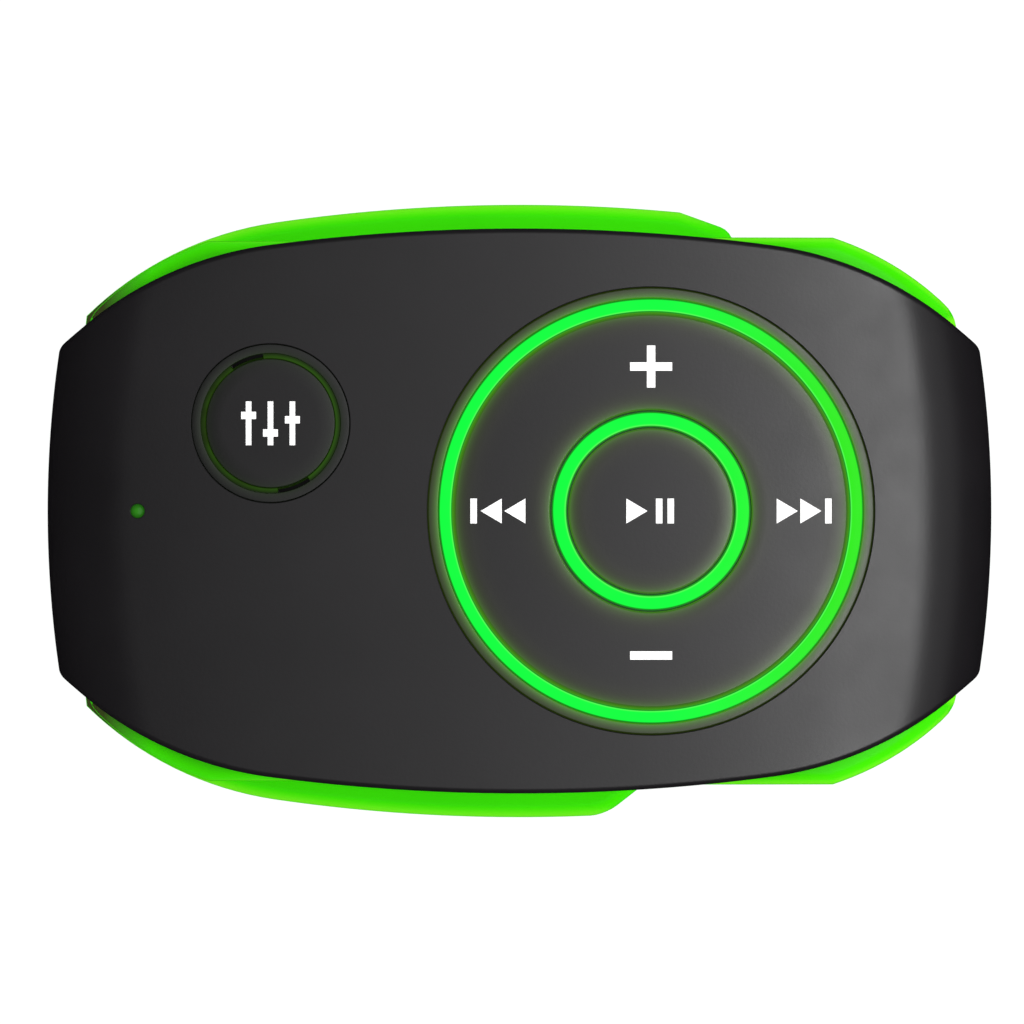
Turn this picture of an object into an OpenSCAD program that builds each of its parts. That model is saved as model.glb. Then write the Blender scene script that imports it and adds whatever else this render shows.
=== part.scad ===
// Clip-on digital audio player.
// A dark front cover wraps like a strap over a green rear shell. A sprung green clip is hinged on the back.
// The player lies on its clip: +Z points out of the front, +X to the right of the front, +Y to its top edge.
// The origin is under the middle of the player, on the plane that the clip rests on. Units are millimetres.

/* [Body] */
// Length over the two wrapped ends of the cover
body_l = 54; // [51:0.2:65]
// Width of the front cover
cover_w = 32.2; // [31:0.2:40]
// Depth from the shell's back face to the top of the crown
body_h = 13; // [12.6:0.1:15.6]
// How far the crowned front face falls from its middle to the ends
crown_fall = 4.4; // [3.6:0.1:5.3]
// Radius of the bend from the front face to the end faces
bend_r = 6; // [5:0.1:7.2]
// Radius of the rounding at the foot of the end faces
foot_r = 1; // [0.4:0.1:1.2]

/* [Cover outline] */
// How far the long sides curve in before the shoulders begin
side_bow = 0.93; // [0.7:0.01:1.2]
// Distance from the end to where the shoulders begin
shoulder_in = 12.7; // [10:0.1:15.3]
// Distance from the end to where the shoulders finish
corner_in = 2; // [1.6:0.1:3]
// Slope at which the shoulders finish, in degrees
shoulder_slope = 40; // [33:1:46]
// Bulge of the end faces
end_bulge = 0.7; // [0.4:0.1:1]

/* [Walls] */
// Wall of the cover
cover_t = 1.6; // [1.3:0.1:1.9]
// Depth of the cover's rim along its long sides
rim_t = 2.6; // [2.1:0.1:3]
// Width of the cover's rim
rim_w = 1.5; // [1.2:0.1:1.8]
// Wall of the rear shell
shell_wall = 1.4; // [1.1:0.1:1.7]
// Floor of the rear shell
floor_t = 1.3; // [1:0.1:1.6]
// How far the shell's flat sides stand back from the cover's widest point
shell_inset = 0.48; // [0.3:0.02:0.7]
// Gap between pieces that are fixed together
fit_gap = 0.1; // [0.06:0.01:0.14]

/* [Clip] */
// Thickness of the clip's plate
clip_t = 2; // [1.6:0.1:2.6]
// Space between the clip's plate and the shell's back
clip_space = 2.8; // [2.7:0.1:3.4]
// How far the clip stands out past the cover on each side
clip_proud = 1.48; // [0.8:0.02:2.2]
// How far the clip's long sides curve in before its shoulders begin
clip_bow = 1.01; // [0.8:0.01:1.3]
// Distance from the right end of the body to the hinge pin
hinge_in = 24; // [20:0.5:29]
// How far the press tab reaches past the pin, at its long corner
tab_l = 9.4; // [8:0.1:11]
// How much shorter the tab is at its other corner
tab_slant = 4.3; // [3:0.1:5.2]
// Diameter of the hinge pin
pin_d = 1.2; // [1:0.05:1.45]
// Running clearance of the pin, on the radius
pin_gap = 0.04; // [0.02:0.01:0.08]
// Clearance between the clip and the shell
clip_gap = 0.1; // [0.06:0.01:0.2]
// Distance from the middle to the middle of each hinge lug
lug_y = 5.5; // [4.5:0.1:6.6]
// Width of each hinge lug
lug_w = 2; // [1.4:0.1:2.4]
// Width of each ear of the clip
ear_w = 1.8; // [1.2:0.1:2.2]
// Wire of the torsion spring
spring_wire = 0.45; // [0.35:0.05:0.5]

/* [Control] */
// Distance from the right end of the body to the centre of the control
control_in = 19.5; // [18.5:0.1:21]
// Radius of the hole in the cover for the control
control_r = 12.77; // [10.6:0.01:13.2]
// Wall of the control's bezel
bezel_w = 0.6; // [0.5:0.01:0.75]
// Width of the outer light ring
outer_glow_w = 0.72; // [0.6:0.01:0.9]
// Radius of the outside of the inner light ring
inner_glow_r = 5.57; // [4.6:0.01:6.7]
// Width of the inner light ring
inner_glow_w = 0.68; // [0.5:0.01:0.85]
// Gap round every key
key_gap = 0.18; // [0.15:0.01:0.22]
// Skin of the keys
key_t = 1.4; // [1.1:0.1:1.7]
// Tilt of the rocker to each side, in degrees
rocker_tilt = 1.7; // [1.2:0.1:2]
// Travel of the push keys
key_travel = 0.35; // [0.25:0.01:0.45]

/* [Equaliser key] */
// Distance from the left end of the body to the centre of the key
eq_in = 12.8; // [12:0.1:15]
// Distance of the key above the middle line
eq_y = 5; // [4:0.1:6]
// Radius of the hole in the cover for the key
eq_hole_r = 4.54; // [3.8:0.01:5.4]
// Wall of the key's bezel
eq_bezel_w = 0.44; // [0.35:0.01:0.55]
// Width of the key's light ring
eq_glow_w = 0.32; // [0.25:0.01:0.4]

/* [Status light] */
// Distance from the left end of the body to the status light
led_in = 5.2; // [5:0.1:6.3]
// Radius of the status light's lens
led_r = 0.36; // [0.3:0.01:0.5]

/* [Inside] */
// Thickness of the circuit board
board_t = 0.8; // [0.6:0.1:1]
// Space between the shell's floor and the board
under_board = 5.3; // [5.2:0.1:5.8]
// Length of the battery
battery_l = 24.6; // [20:0.1:25]
// Width of the battery
battery_w = 20; // [16:0.5:20.5]
// Thickness of the battery
battery_t = 4; // [3.3:0.1:4.8]
// Distance from the right end of the body to the headphone socket
jack_in = 17.8; // [17:0.1:18.4]
// Radius of the headphone socket's bore
jack_bore_r = 1.8; // [1.78:0.01:1.85]
// Distance from the headphone socket to the USB socket
usb_to_jack = 11.8; // [10:0.1:14]
// Distance from the left end of the body to the power slider
slider_in = 21; // [19:0.5:25]
// Travel of the power slider
slider_travel = 2; // [1.5:0.1:2.4]

/* [Hidden] */
$fn = 96;
// Cutters run this far past what they cut
over = 1;

half_l = body_l / 2;
half_w = cover_w / 2;
crown_r = (half_l * half_l + crown_fall * crown_fall) / (2 * crown_fall);
back_z = clip_t + clip_space;
top_z = back_z + body_h;
floor_z = back_z + floor_t;
board_z = floor_z + under_board;
board_top = board_z + board_t;
shell_half_w = half_w - shell_inset;
shell_half_l = half_l - cover_t - fit_gap;
shell_inner_w = shell_half_w - shell_wall;
// Long enough to reach past every piece
span = 2 * (cover_w + clip_proud);

// ---------- Outlines ----------

// Points on an arc whose angle is counted clockwise from +Y
function arc(centre, r, from, to, n) =
    [for (i = [0:n]) let (a = from + (to - from) * i / n) centre + r * [sin(a), cos(a)]];

// Radius of an arc that falls by bow over the distance x from its top
function bow_r(x, bow) = (x * x + bow * bow) / (2 * bow);

function tail(points) = [for (i = [1:len(points) - 1]) points[i]];
function backwards(points) = [for (i = [len(points) - 1:-1:0]) points[i]];

// A quarter outline, from its top middle to its right middle, copied to all four sides
function four_sides(q) = let (n = len(q)) concat(
    q,
    [for (i = [n - 2:-1:0]) [q[i].x, -q[i].y]],
    [for (i = [1:n - 1]) [-q[i].x, -q[i].y]],
    [for (i = [n - 2:-1:1]) [-q[i].x, q[i].y]]);

function left_normal(a, b) = let (d = b - a) [-d.y, d.x] / norm(d);

// A clockwise outline moved inwards by t, with its corners kept sharp
function inset(points, t) = let (n = len(points))
    [for (i = [0:n - 1])
        let (before = left_normal(points[(i + n - 1) % n], points[i]),
             after = left_normal(points[i], points[(i + 1) % n]))
        points[i] - t * (before + after) / (1 + before * after)];

// One corner of an outline, rounded to radius r in n steps
function round_corner(before, b, after, r, n) =
    let (u = (before - b) / norm(before - b), v = (after - b) / norm(after - b), half = acos(u * v) / 2,
         centre = b + r / sin(half) * (u + v) / norm(u + v), start = b + u * r / tan(half) - centre,
         sweep = (cross(u, v) > 0 ? -1 : 1) * (180 - 2 * half))
    [for (k = [0:n]) let (a = sweep * k / n)
        centre + [start.x * cos(a) - start.y * sin(a), start.x * sin(a) + start.y * cos(a)]];

// An outline of [x, y, radius] corners, each rounded to its radius
function rounded(corners, n = 5) = let (m = len(corners), at = [for (c = corners) [c.x, c.y]])
    [for (i = [0:m - 1]) each corners[i].z == 0 ? [at[i]]
        : round_corner(at[(i + m - 1) % m], at[i], at[(i + 1) % m], corners[i].z, n)];

// The cover seen from the front: long arcs, round shoulders, short straight corners, bulged ends
function cover_quarter() =
    let (x1 = half_l - shoulder_in, side_r = bow_r(x1, side_bow),
         a1 = asin(x1 / side_r), a2 = shoulder_slope,
         x2 = half_l - corner_in, shoulder_r = (x2 - x1) / (sin(a2) - sin(a1)),
         c1 = [0, half_w - side_r], c2 = c1 + (side_r - shoulder_r) * [sin(a1), cos(a1)],
         p2 = c2 + shoulder_r * [sin(a2), cos(a2)],
         x3 = half_l - end_bulge, y3 = p2.y - (x3 - p2.x) * tan(a2), end_r = bow_r(y3, end_bulge))
    concat(arc(c1, side_r, 0, a1, 4), tail(arc(c2, shoulder_r, a1, a2, 9)),
           arc([half_l - end_r, 0], end_r, 90 - asin(y3 / end_r), 90, 4));
cover_outline = four_sides(cover_quarter());

// The rear shell: straight sides, shoulders that show past the cover, ends inside the cover's end walls
shell_flat_in = 9.1;
shell_shoulder_from = 18;
shell_shoulder_to = 43;
shell_corner_l = 0.7;
function shell_quarter() =
    let (a1 = shell_shoulder_from, a2 = shell_shoulder_to, x1 = half_l - shell_flat_in,
         x2 = shell_half_l - shell_corner_l, r1 = (x2 - x1) / (sin(a2) - sin(a1)),
         c1 = [x1, shell_half_w] - r1 * [sin(a1), cos(a1)],
         r2 = shell_corner_l / (1 - sin(a2)), c2 = c1 + (r1 - r2) * [sin(a2), cos(a2)])
    concat([[0, shell_half_w]], arc(c1, r1, a1, a2, 8), tail(arc(c2, r2, a2, 90, 4)), [[shell_half_l, 0]]);
shell_outline = four_sides(shell_quarter());

pin_r = pin_d / 2;
pin_x = half_l - hinge_in;

// The clip: long arcs, a round left end, and a slanted right end with a cut corner on each side
clip_half_w = half_w + clip_proud;
clip_shoulder_x = half_l - 13;
clip_shoulder_slope = 58;
clip_tip_x = half_l - 1.4;
clip_end_x = half_l - 1.1;
clip_side_r = bow_r(clip_shoulder_x, clip_bow);
tab_corner_l = 3.2;
tab_corner_w = 1.15;
tab_corner_r = 1.2;
function clip_side(x) = clip_half_w - clip_side_r + sqrt(clip_side_r * clip_side_r - x * x);
function clip_shoulder() =
    let (a1 = asin(clip_shoulder_x / clip_side_r), a2 = clip_shoulder_slope,
         r = (clip_tip_x - clip_shoulder_x) / (sin(a2) - sin(a1)), c1 = [0, clip_half_w - clip_side_r])
    concat(arc([0, clip_half_w - clip_side_r], clip_side_r, 0, a1, 4),
           tail(arc(c1 + (clip_side_r - r) * [sin(a1), cos(a1)], r, a1, a2, 10)));
function clip_points() =
    let (left = clip_shoulder(), tip_y = left[len(left) - 1].y - 1,
         long_x = pin_x + tab_l, short_x = long_x - tab_slant,
         long_side = long_x - tab_corner_l, short_side = short_x - tab_corner_l,
         right = rounded([[0, clip_half_w, 0],
                          [long_side, clip_side(long_side), tab_corner_r],
                          [long_x, clip_side(long_side) - tab_corner_w, tab_corner_r * 0.75],
                          [short_x, tab_corner_w - half_w, tab_corner_r],
                          [short_side, -clip_side(short_side), tab_corner_r],
                          [0, -clip_half_w, 0]]))
    concat(backwards([for (p = left) [-p.x, p.y]]), [for (i = [1:len(right) - 2]) right[i]],
           [for (p = left) [-p.x, -p.y]], [[-clip_end_x, -tip_y], [-clip_end_x, tip_y]]);
clip_outline = clip_points();

// ---------- Shared solids ----------

module prism(points, from, to) translate([0, 0, from]) linear_extrude(to - from) polygon(points);

// Everything below the crowned face, lowered by t
module under_crown(t = 0)
    along_y([0, 0, top_z - crown_r], crown_r - t, span, $fn = 240);

// The skin between two depths below the crowned face, cut out of the children
module skin(from, to) difference() {
    intersection() {
        children();
        under_crown(from);
    }
    under_crown(to);
}

// Half of the body's side view: top lowered by top_t, end moved in by end_t, foot rounded to low_r
function side_half(top_t, end_t, low_r) =
    let (l = half_l - end_t, r = crown_r - top_t, b = bend_r - end_t,
         xs = (l - b) / (1 - b / r), a = asin(xs / r),
         zs = top_z - crown_r + r * cos(a), centre = [xs, zs] - b * [sin(a), cos(a)])
    concat([[0, zs + xs * tan(a)]], arc(centre, b, a, 90, 9),
           low_r > 0 ? arc([l - low_r, back_z + low_r], low_r, 90, 180, 4) : [[l, back_z - over]]);

module side_prism(top_t, end_t, low_r = 0) {
    half = side_half(top_t, end_t, low_r);
    other = backwards([for (p = tail(half)) [-p.x, p.y]]);
    rotate([90, 0, 0]) linear_extrude(span, center = true) polygon(concat(half, other));
}

module ring(r, bore, from, to) difference() {
    translate([0, 0, from]) cylinder(r = r, h = to - from);
    translate([0, 0, from - over]) cylinder(r = bore, h = to - from + 2 * over);
}

// A block given by its middle in X and Y, its size and the height of its underside
module block(x, y, size, z) translate([x - size.x / 2, y - size.y / 2, z]) cube(size);

// A round rod or cutter that runs along Y, given by its middle
module along_y(at, r, h) translate(at) rotate([90, 0, 0]) cylinder(r = r, h = h, center = true);

function unit(v) = v / norm(v);

// A tube swept along a path that never runs straight along Y
module swept(path, r, sides = 8) {
    n = len(path);
    rings = [for (i = [0:n - 1])
        let (t = unit(path[min(i + 1, n - 1)] - path[max(i - 1, 0)]),
             u = unit([0, 1, 0] - t.y * t), v = cross(t, u))
        each [for (k = [0:sides - 1]) path[i] + r * (u * cos(360 * k / sides) + v * sin(360 * k / sides))]];
    polyhedron(rings, concat(
        [[for (k = [0:sides - 1]) k]],
        [for (i = [0:n - 2], k = [0:sides - 1]) let (a = i * sides, m = (k + 1) % sides)
            [a + k, a + sides + k, a + sides + m, a + m]],
        [[for (k = [sides - 1:-1:0]) (n - 1) * sides + k]]));
}

// Screw with its cross-slotted head at the lower end
slot_w = 0.24;
module screw(head_r, head_h, r, length) {
    difference() {
        cylinder(r = head_r, h = head_h);
        for (a = [0, 90]) rotate(a) block(0, 0, [head_r * 1.2, slot_w, over + head_h / 2], -over);
    }
    translate([0, 0, head_h]) cylinder(r = r, h = length - head_h);
}

// ---------- Places shared by several pieces ----------

// Case screws go up through the shell into bosses of the cover
screw_r = 0.7;
screw_head_r = 1.3;
screw_head_h = 0.8;
screw_l = 6.6;
screw_sunk = 0.25;
screw_gap = 0.03;
// A screw's bore goes on this far past its end
bore_past = 0.5;
boss_r = 1.7;
pad_r = boss_r + 0.4;
pad_z = floor_z + 0.9;
screw_x = half_l - 5.8;
screw_y = half_w - 6.3;
case_screw_at = [for (x = [-1, 1], y = [-1, 1]) [x * screw_x, y * screw_y, 0]];

// The processor's middle. The third board boss stands beside it.
chip_x = 15 - half_l;
chip_y = -7;

// Board screws go up through the board into shorter bosses of the cover
board_screw_r = 0.6;
board_screw_head_r = 1.1;
board_screw_head_h = 0.5;
board_screw_l = board_t + 1.6;
board_boss_r = 1.2;
board_screw_x = half_l - 9.5;
chip_to_boss = 2.5;
board_screw_y = half_w - 5.2;
board_screw_at = [[board_screw_x, board_screw_y, 0], [board_screw_x, -board_screw_y, 0],
                  [-board_screw_x, chip_y - chip_to_boss, 0]];

// The control, from its bezel inwards
control_x = half_l - control_in;
bezel_r = control_r - fit_gap / 2;
outer_glow_r = bezel_r - bezel_w;
rocker_r = outer_glow_r - outer_glow_w - key_gap;
rocker_bore_r = inner_glow_r + key_gap;
hollow_r = rocker_r - key_t;
hollow_bore_r = rocker_bore_r + key_t / 2;
dome_at = (hollow_r + hollow_bore_r) / 2;
inner_mid_r = inner_glow_r - inner_glow_w / 2;
play_r = inner_glow_r - inner_glow_w - key_gap;

// The equaliser key, from its bezel inwards
eq_x = eq_in - half_l;
eq_bezel_r = eq_hole_r - fit_gap / 2;
eq_glow_r = eq_bezel_r - eq_bezel_w;
eq_r = eq_glow_r - eq_glow_w - key_gap / 2;

led_x = led_in - half_l;

// Heights above the board. The rocker's flange stays clear of the lights below it and of the ring above
// it when the rocker is tilted both ways at once.
dome_h = key_travel;
dome_r = 2;
led_h = 0.4;
flange_t = 0.4;
foot_gap = 0.03;
flange_gap = 0.08;
key_foot_z = board_top + dome_h + foot_gap;
flange_r = rocker_r + key_gap + outer_glow_w / 2;
flange_drop = flange_r * sin(rocker_tilt * sqrt(2)) + flange_gap;
rocker_z = board_top + led_h + flange_drop;
outer_glow_z = rocker_z + flange_t + flange_drop;
play_key_z = board_top + led_h + key_travel + flange_gap;
inner_glow_z = play_key_z + flange_t + flange_gap;
eq_key_z = board_top + led_h + key_travel + flange_gap;
eq_glow_z = eq_key_z + flange_t + flange_gap;

// Sockets hang under the board and look out of the shell's lower side, the slider out of its upper side
jack_wall = 0.7;
jack_body_w = 6;
jack_nose_r = jack_bore_r + jack_wall;
jack_x = half_l - jack_in;
jack_z = board_z - fit_gap - jack_nose_r;
usb_w = 7.5;
usb_h = 2.7;
usb_taper_w = 5.8;
usb_taper_h = 1.25;
usb_play = 0.15;
usb_x = jack_x - usb_to_jack;
usb_z = board_z - fit_gap / 2 - usb_h / 2;
slider_x = slider_in - half_l;
slider_z = board_top + 0.75;
slider_plate = [4.6, 0.95, 1.9];
slider_stem = [1.8, 1.9, 0.9];
slider_recess = 0.75;
slider_gap = 0.15;

// The USB socket's outline, made smaller by t, as a prism between two distances along Y
module usb_prism(t, from, to) {
    half = [[usb_w / 2, usb_h / 2], [usb_w / 2, usb_taper_h - usb_h / 2], [usb_taper_w / 2, -usb_h / 2]];
    outline = concat(half, backwards([for (p = half) [-p.x, p.y]]));
    translate([usb_x, to, usb_z]) rotate([90, 0, 0]) linear_extrude(to - from) polygon(inset(outline, t));
}

// The room that a piece of the slider needs over its whole travel, from a distance along Y outwards
module slider_room(size, from, depth) {
    room = [size.x + slider_travel + 2 * slider_gap, depth, size.z + 2 * slider_gap];
    block(slider_x - slider_travel / 2, from + depth / 2, room, slider_z - room.z / 2);
}

// ---------- Case ----------

module cover_shell() difference() {
    intersection() {
        prism(cover_outline, back_z, top_z + over);
        side_prism(0, 0, foot_r);
        under_crown();
    }
    // The inside, within the rim
    intersection() {
        prism(inset(cover_outline, rim_w), back_z - over, top_z);
        side_prism(cover_t, cover_t);
        under_crown(cover_t);
    }
    // The long sides are open below the rim
    intersection() {
        side_prism(rim_t, cover_t);
        under_crown(rim_t);
    }
}

module cover_bosses() intersection() {
    union() {
        for (p = case_screw_at) translate([p.x, p.y, pad_z + fit_gap]) cylinder(r = boss_r, h = body_h);
        for (p = board_screw_at) translate([p.x, p.y, board_top + fit_gap / 2])
            cylinder(r = board_boss_r, h = body_h);
    }
    side_prism(cover_t / 2, cover_t / 2);
    under_crown(cover_t / 2);
}

module front_cover() color("#333234") difference() {
    union() {
        cover_shell();
        cover_bosses();
    }
    translate([control_x, 0, board_top]) cylinder(r = control_r, h = body_h);
    translate([eq_x, eq_y, board_top]) cylinder(r = eq_hole_r, h = body_h);
    translate([led_x, 0, board_top]) cylinder(r = led_r + fit_gap / 2, h = body_h);
    for (p = case_screw_at) translate([p.x, p.y, back_z])
        cylinder(r = screw_r + screw_gap, h = screw_sunk + screw_l + bore_past);
    for (p = board_screw_at) translate([p.x, p.y, board_z])
        cylinder(r = board_screw_r + screw_gap, h = board_screw_l - board_screw_head_h + bore_past / 2);
}

lug_r = (clip_space - fit_gap) / 2;
pin_z = clip_t + clip_gap + lug_r;
module shell_lugs() for (s = [-1, 1]) {
    along_y([pin_x, s * lug_y, pin_z], lug_r, lug_w);
    block(pin_x, s * lug_y, [2 * lug_r, lug_w, back_z - pin_z + floor_t / 2], pin_z);
}

module shell_tub() difference() {
    intersection() {
        prism(shell_outline, back_z, top_z);
        side_prism(rim_t + fit_gap, cover_t + fit_gap);
        under_crown(rim_t + fit_gap);
    }
    prism(inset(shell_outline, shell_wall), floor_z, top_z + over);
}

module rear_shell() color("#46e000") difference() {
    union() {
        shell_tub();
        shell_lugs();
        for (p = case_screw_at) translate([p.x, p.y, back_z + floor_t / 2])
            cylinder(r = pad_r, h = pad_z - back_z - floor_t / 2);
    }
    along_y([pin_x, 0, pin_z], pin_r + pin_gap, 4 * lug_y);
    for (p = case_screw_at) translate([p.x, p.y, back_z - over]) {
        cylinder(r = screw_r + fit_gap, h = 2 * over + pad_z - back_z);
        cylinder(r = screw_head_r + fit_gap, h = over + screw_sunk + screw_head_h);
    }
    along_y([jack_x, -shell_half_w, jack_z], jack_nose_r + fit_gap, 2 * shell_wall + 2 * over);
    usb_prism(-usb_play, -shell_half_w - over, over - shell_inner_w);
    slider_room(slider_plate, shell_half_w - slider_recess, slider_recess + over);
    slider_room(slider_stem, shell_inner_w - over, shell_wall + over);
}

module case_screws() color("#9a9a9e")
    for (p = case_screw_at) translate([p.x, p.y, back_z + screw_sunk])
        screw(screw_head_r, screw_head_h, screw_r, screw_l);

// ---------- Clip ----------

ear_r = back_z - clip_gap - pin_z;
ear_y = lug_y + lug_w / 2 + clip_gap + ear_w / 2;
jaw_x = 4.2 - half_l;
jaw_l = 3;
jaw_w = 17;
tooth_w = 0.7;
groove_r = 0.35;
groove_step = 1.3;
groove_l = 14;
groove_x = pin_x + tab_l - tab_slant - 2.9;

module clip_arm() color("#46e000") difference() {
    union() {
        prism(clip_outline, 0, clip_t);
        for (s = [-1, 1]) {
            along_y([pin_x, s * ear_y, pin_z], ear_r, ear_w);
            block(pin_x, s * ear_y, [2 * ear_r, ear_w, pin_z - clip_t / 2], clip_t / 2);
        }
        // Jaw at the free end, which closes on the shell's back
        block(jaw_x, 0, [jaw_l, jaw_w, back_z - clip_gap - clip_t / 2], clip_t / 2);
    }
    along_y([pin_x, 0, pin_z], pin_r + pin_gap / 2, 4 * ear_y);
    for (i = [-1, 0, 1]) translate([jaw_x + i, 0, back_z - clip_gap]) rotate([0, 45, 0])
        cube([tooth_w, jaw_w + 2 * over, tooth_w], center = true);
    // Grip grooves on the outside of the press tab
    for (i = [0:3]) along_y([groove_x + i * groove_step, 0, 0], groove_r, groove_l - i);
}

module clip_pin() color("#b8b8bc") along_y([pin_x, 0, pin_z], pin_r, 2 * ear_y + ear_w - 2 * fit_gap);

// Torsion spring between the lugs: one leg lies against the shell, the other against the press tab
spring_r = pin_r + 0.15 + spring_wire / 2;
spring_w = 3.2;
spring_leg = 5.6;
spring_sweep = 360 * 4.5;
spring_path = concat(
    [[pin_x + spring_leg, -spring_w / 2, pin_z + spring_r]],
    [for (a = [0:20:spring_sweep])
        [pin_x - spring_r * sin(a), spring_w * (a / spring_sweep - 0.5), pin_z + spring_r * cos(a)]],
    [[pin_x + spring_leg, spring_w / 2, pin_z - spring_r]]);
module clip_spring() color("#c8c8cc") swept(spring_path, spring_wire / 2);

// ---------- Marks ----------

legend_t = 0.3;
mark_h = 1.42;
arrow_w = 1.2;
bar_w = 0.37;
sign_w = 2.4;
sign_t = 0.48;
skip_arrows_at = [-0.97, 0.38];
skip_bar_at = 1.38;
play_arrow_at = -0.81;
pause_bars_at = [0.46, 1.12];
mark_mid = (rocker_r + rocker_bore_r) / 2;
mark_shift = 0.25;
skip_at = mark_mid + mark_shift;
sign_at = mark_mid - mark_shift;

// A mark as a tall prism
module tall() linear_extrude(top_z + over) children();

module bar(x, y, w, h) translate([x - w / 2, y - h / 2]) square([w, h]);
module arrow(x, way) polygon([[x - way * arrow_w / 2, mark_h / 2], [x + way * arrow_w / 2, 0],
                              [x - way * arrow_w / 2, -mark_h / 2]]);

// Two arrows and a bar, side by side, that point to the right or to the left
module skip_mark(way) {
    for (x = skip_arrows_at) arrow(way * x, way);
    bar(way * skip_bar_at, 0, bar_w, mark_h);
}
module rocker_marks() translate([control_x, 0]) {
    for (way = [-1, 1]) translate([way * skip_at, 0]) skip_mark(way);
    for (y = [-sign_at, sign_at]) bar(0, y, sign_w, sign_t);
    bar(0, sign_at, sign_t, sign_w);
}
module play_marks() translate([control_x, 0]) {
    arrow(play_arrow_at, 1);
    for (x = pause_bars_at) bar(x, 0, bar_w, mark_h);
}

// Three slider tracks, each with its knob at a different height
track_step = 1.25;
track_size = [0.32, 2.5];
knob_size = [0.85, 0.42];
knob_heights = [0.45, -0.55, 0.2];
module eq_marks() translate([eq_x, eq_y]) for (i = [-1:1]) {
    bar(i * track_step, 0, track_size.x, track_size.y);
    bar(i * track_step, knob_heights[i + 1], knob_size.x, knob_size.y);
}

module rocker_legends() color("white") skin(0, legend_t) tall() rocker_marks();
module play_legend() color("white") skin(0, legend_t) tall() play_marks();
module eq_legend() color("white") skin(0, legend_t) tall() eq_marks();

// ---------- Control ----------

// Both bezels stand on the board on a foot that is wider than their hole in the cover
bezel_z = board_top + fit_gap / 2;
bezel_foot_w = 0.7;
bezel_foot_t = 0.5;
module bezel(r, bore) {
    ring(r, bore, bezel_z, top_z + over);
    ring(r + bezel_foot_w, bore, bezel_z, bezel_z + bezel_foot_t);
}

module control_bezel() color("#1d1d1f") intersection() {
    translate([control_x, 0, 0]) bezel(bezel_r, outer_glow_r + fit_gap / 2);
    under_crown(fit_gap);
}

module outer_light_ring() color("#1dfa4a") intersection() {
    translate([control_x, 0, 0]) ring(outer_glow_r, outer_glow_r - outer_glow_w, outer_glow_z, top_z + over);
    under_crown();
}

// Silicone ring in the rocker's hollow, on four feet over the contacts. The rocker stands on it by two
// posts.
keymat_t = 0.5;
keymat_gap = 0.45;
keymat_z = key_foot_z + 0.35;
keymat_r = hollow_r - keymat_gap;
keymat_bore_r = hollow_bore_r + keymat_gap;
keymat_foot_r = (keymat_r - keymat_bore_r) * 0.36;
post_r = 0.6;
post_z = keymat_z + keymat_t + foot_gap;
module rocker_keymat() color("#d8d8dc") translate([control_x, 0, 0]) {
    ring(keymat_r, keymat_bore_r, keymat_z, keymat_z + keymat_t);
    for (a = [0:90:270]) rotate(a) translate([dome_at, 0, key_foot_z])
        cylinder(r = keymat_foot_r, h = keymat_z - key_foot_z + keymat_t / 2);
}

module rocker_ring() color("#2b2b2d") difference() {
    intersection() {
        translate([control_x, 0, 0]) {
            ring(rocker_r, rocker_bore_r, rocker_z, top_z + over);
            ring(flange_r, rocker_bore_r, rocker_z, rocker_z + flange_t);
        }
        under_crown();
    }
    // The hollow leaves the two posts
    difference() {
        intersection() {
            translate([control_x, 0, 0]) ring(hollow_r, hollow_bore_r, rocker_z - over, top_z);
            under_crown(key_t);
        }
        for (s = [-1, 1]) translate([control_x + s * dome_at, 0, post_z]) cylinder(r = post_r, h = body_h);
    }
    skin(-over, legend_t) tall() rocker_marks();
}

// The inner ring stands on the board on three legs, which pass the play key's flange in notches
ring_legs = [45, 165, 285];
leg_r = inner_glow_w / 2 - 0.04;
module inner_light_ring() color("#1dfa4a") intersection() {
    translate([control_x, 0, 0]) {
        ring(inner_glow_r, inner_glow_r - inner_glow_w, inner_glow_z, top_z + over);
        for (a = ring_legs) rotate(a) translate([inner_mid_r, 0, board_top])
            cylinder(r = leg_r, h = inner_glow_z - board_top + flange_t);
    }
    under_crown();
}

// A push key: a hollow cap with a flange, and a stem over the contact
stem_r = 1.1;
module push_key(r, key_flange_r, z) difference() {
    union() {
        translate([0, 0, z]) cylinder(r = r, h = body_h);
        translate([0, 0, z]) cylinder(r = key_flange_r, h = flange_t);
        translate([0, 0, key_foot_z]) cylinder(r = stem_r, h = body_h);
    }
    // The hollow ends below the lowest point of the key's crown
    ring(r - key_t / 2, stem_r, z - over, z + key_hollow_h);
}
key_hollow_h = 1.6;

module play_button() color("#2b2b2d") difference() {
    intersection() {
        translate([control_x, 0, 0]) push_key(play_r, inner_mid_r, play_key_z);
        under_crown();
    }
    for (a = ring_legs) translate([control_x, 0, board_top]) rotate(a) translate([inner_mid_r, 0, 0])
        cylinder(r = leg_r + key_gap, h = inner_glow_z - board_top);
    skin(-over, legend_t) tall() play_marks();
}

// ---------- Equaliser key ----------

// Two black bridges of the bezel interrupt the key's light ring
bridge_from = [97, 277];
bridge_sweep = 27;
bridge_gap = 1;
module bridges(grow) for (from = bridge_from) linear_extrude(top_z + over)
    polygon(concat([[0, 0]], [for (i = [0:4]) let (a = from - grow + (bridge_sweep + 2 * grow) * i / 4)
        2 * eq_hole_r * [cos(a), sin(a)]]));

module eq_bezel() color("#1d1d1f") intersection() {
    translate([eq_x, eq_y, 0]) {
        bezel(eq_bezel_r, eq_glow_r + fit_gap / 4);
        intersection() {
            ring((eq_bezel_r + eq_glow_r) / 2, eq_glow_r - eq_glow_w, eq_glow_z, top_z + over);
            bridges(0);
        }
    }
    under_crown(fit_gap);
}

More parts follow.
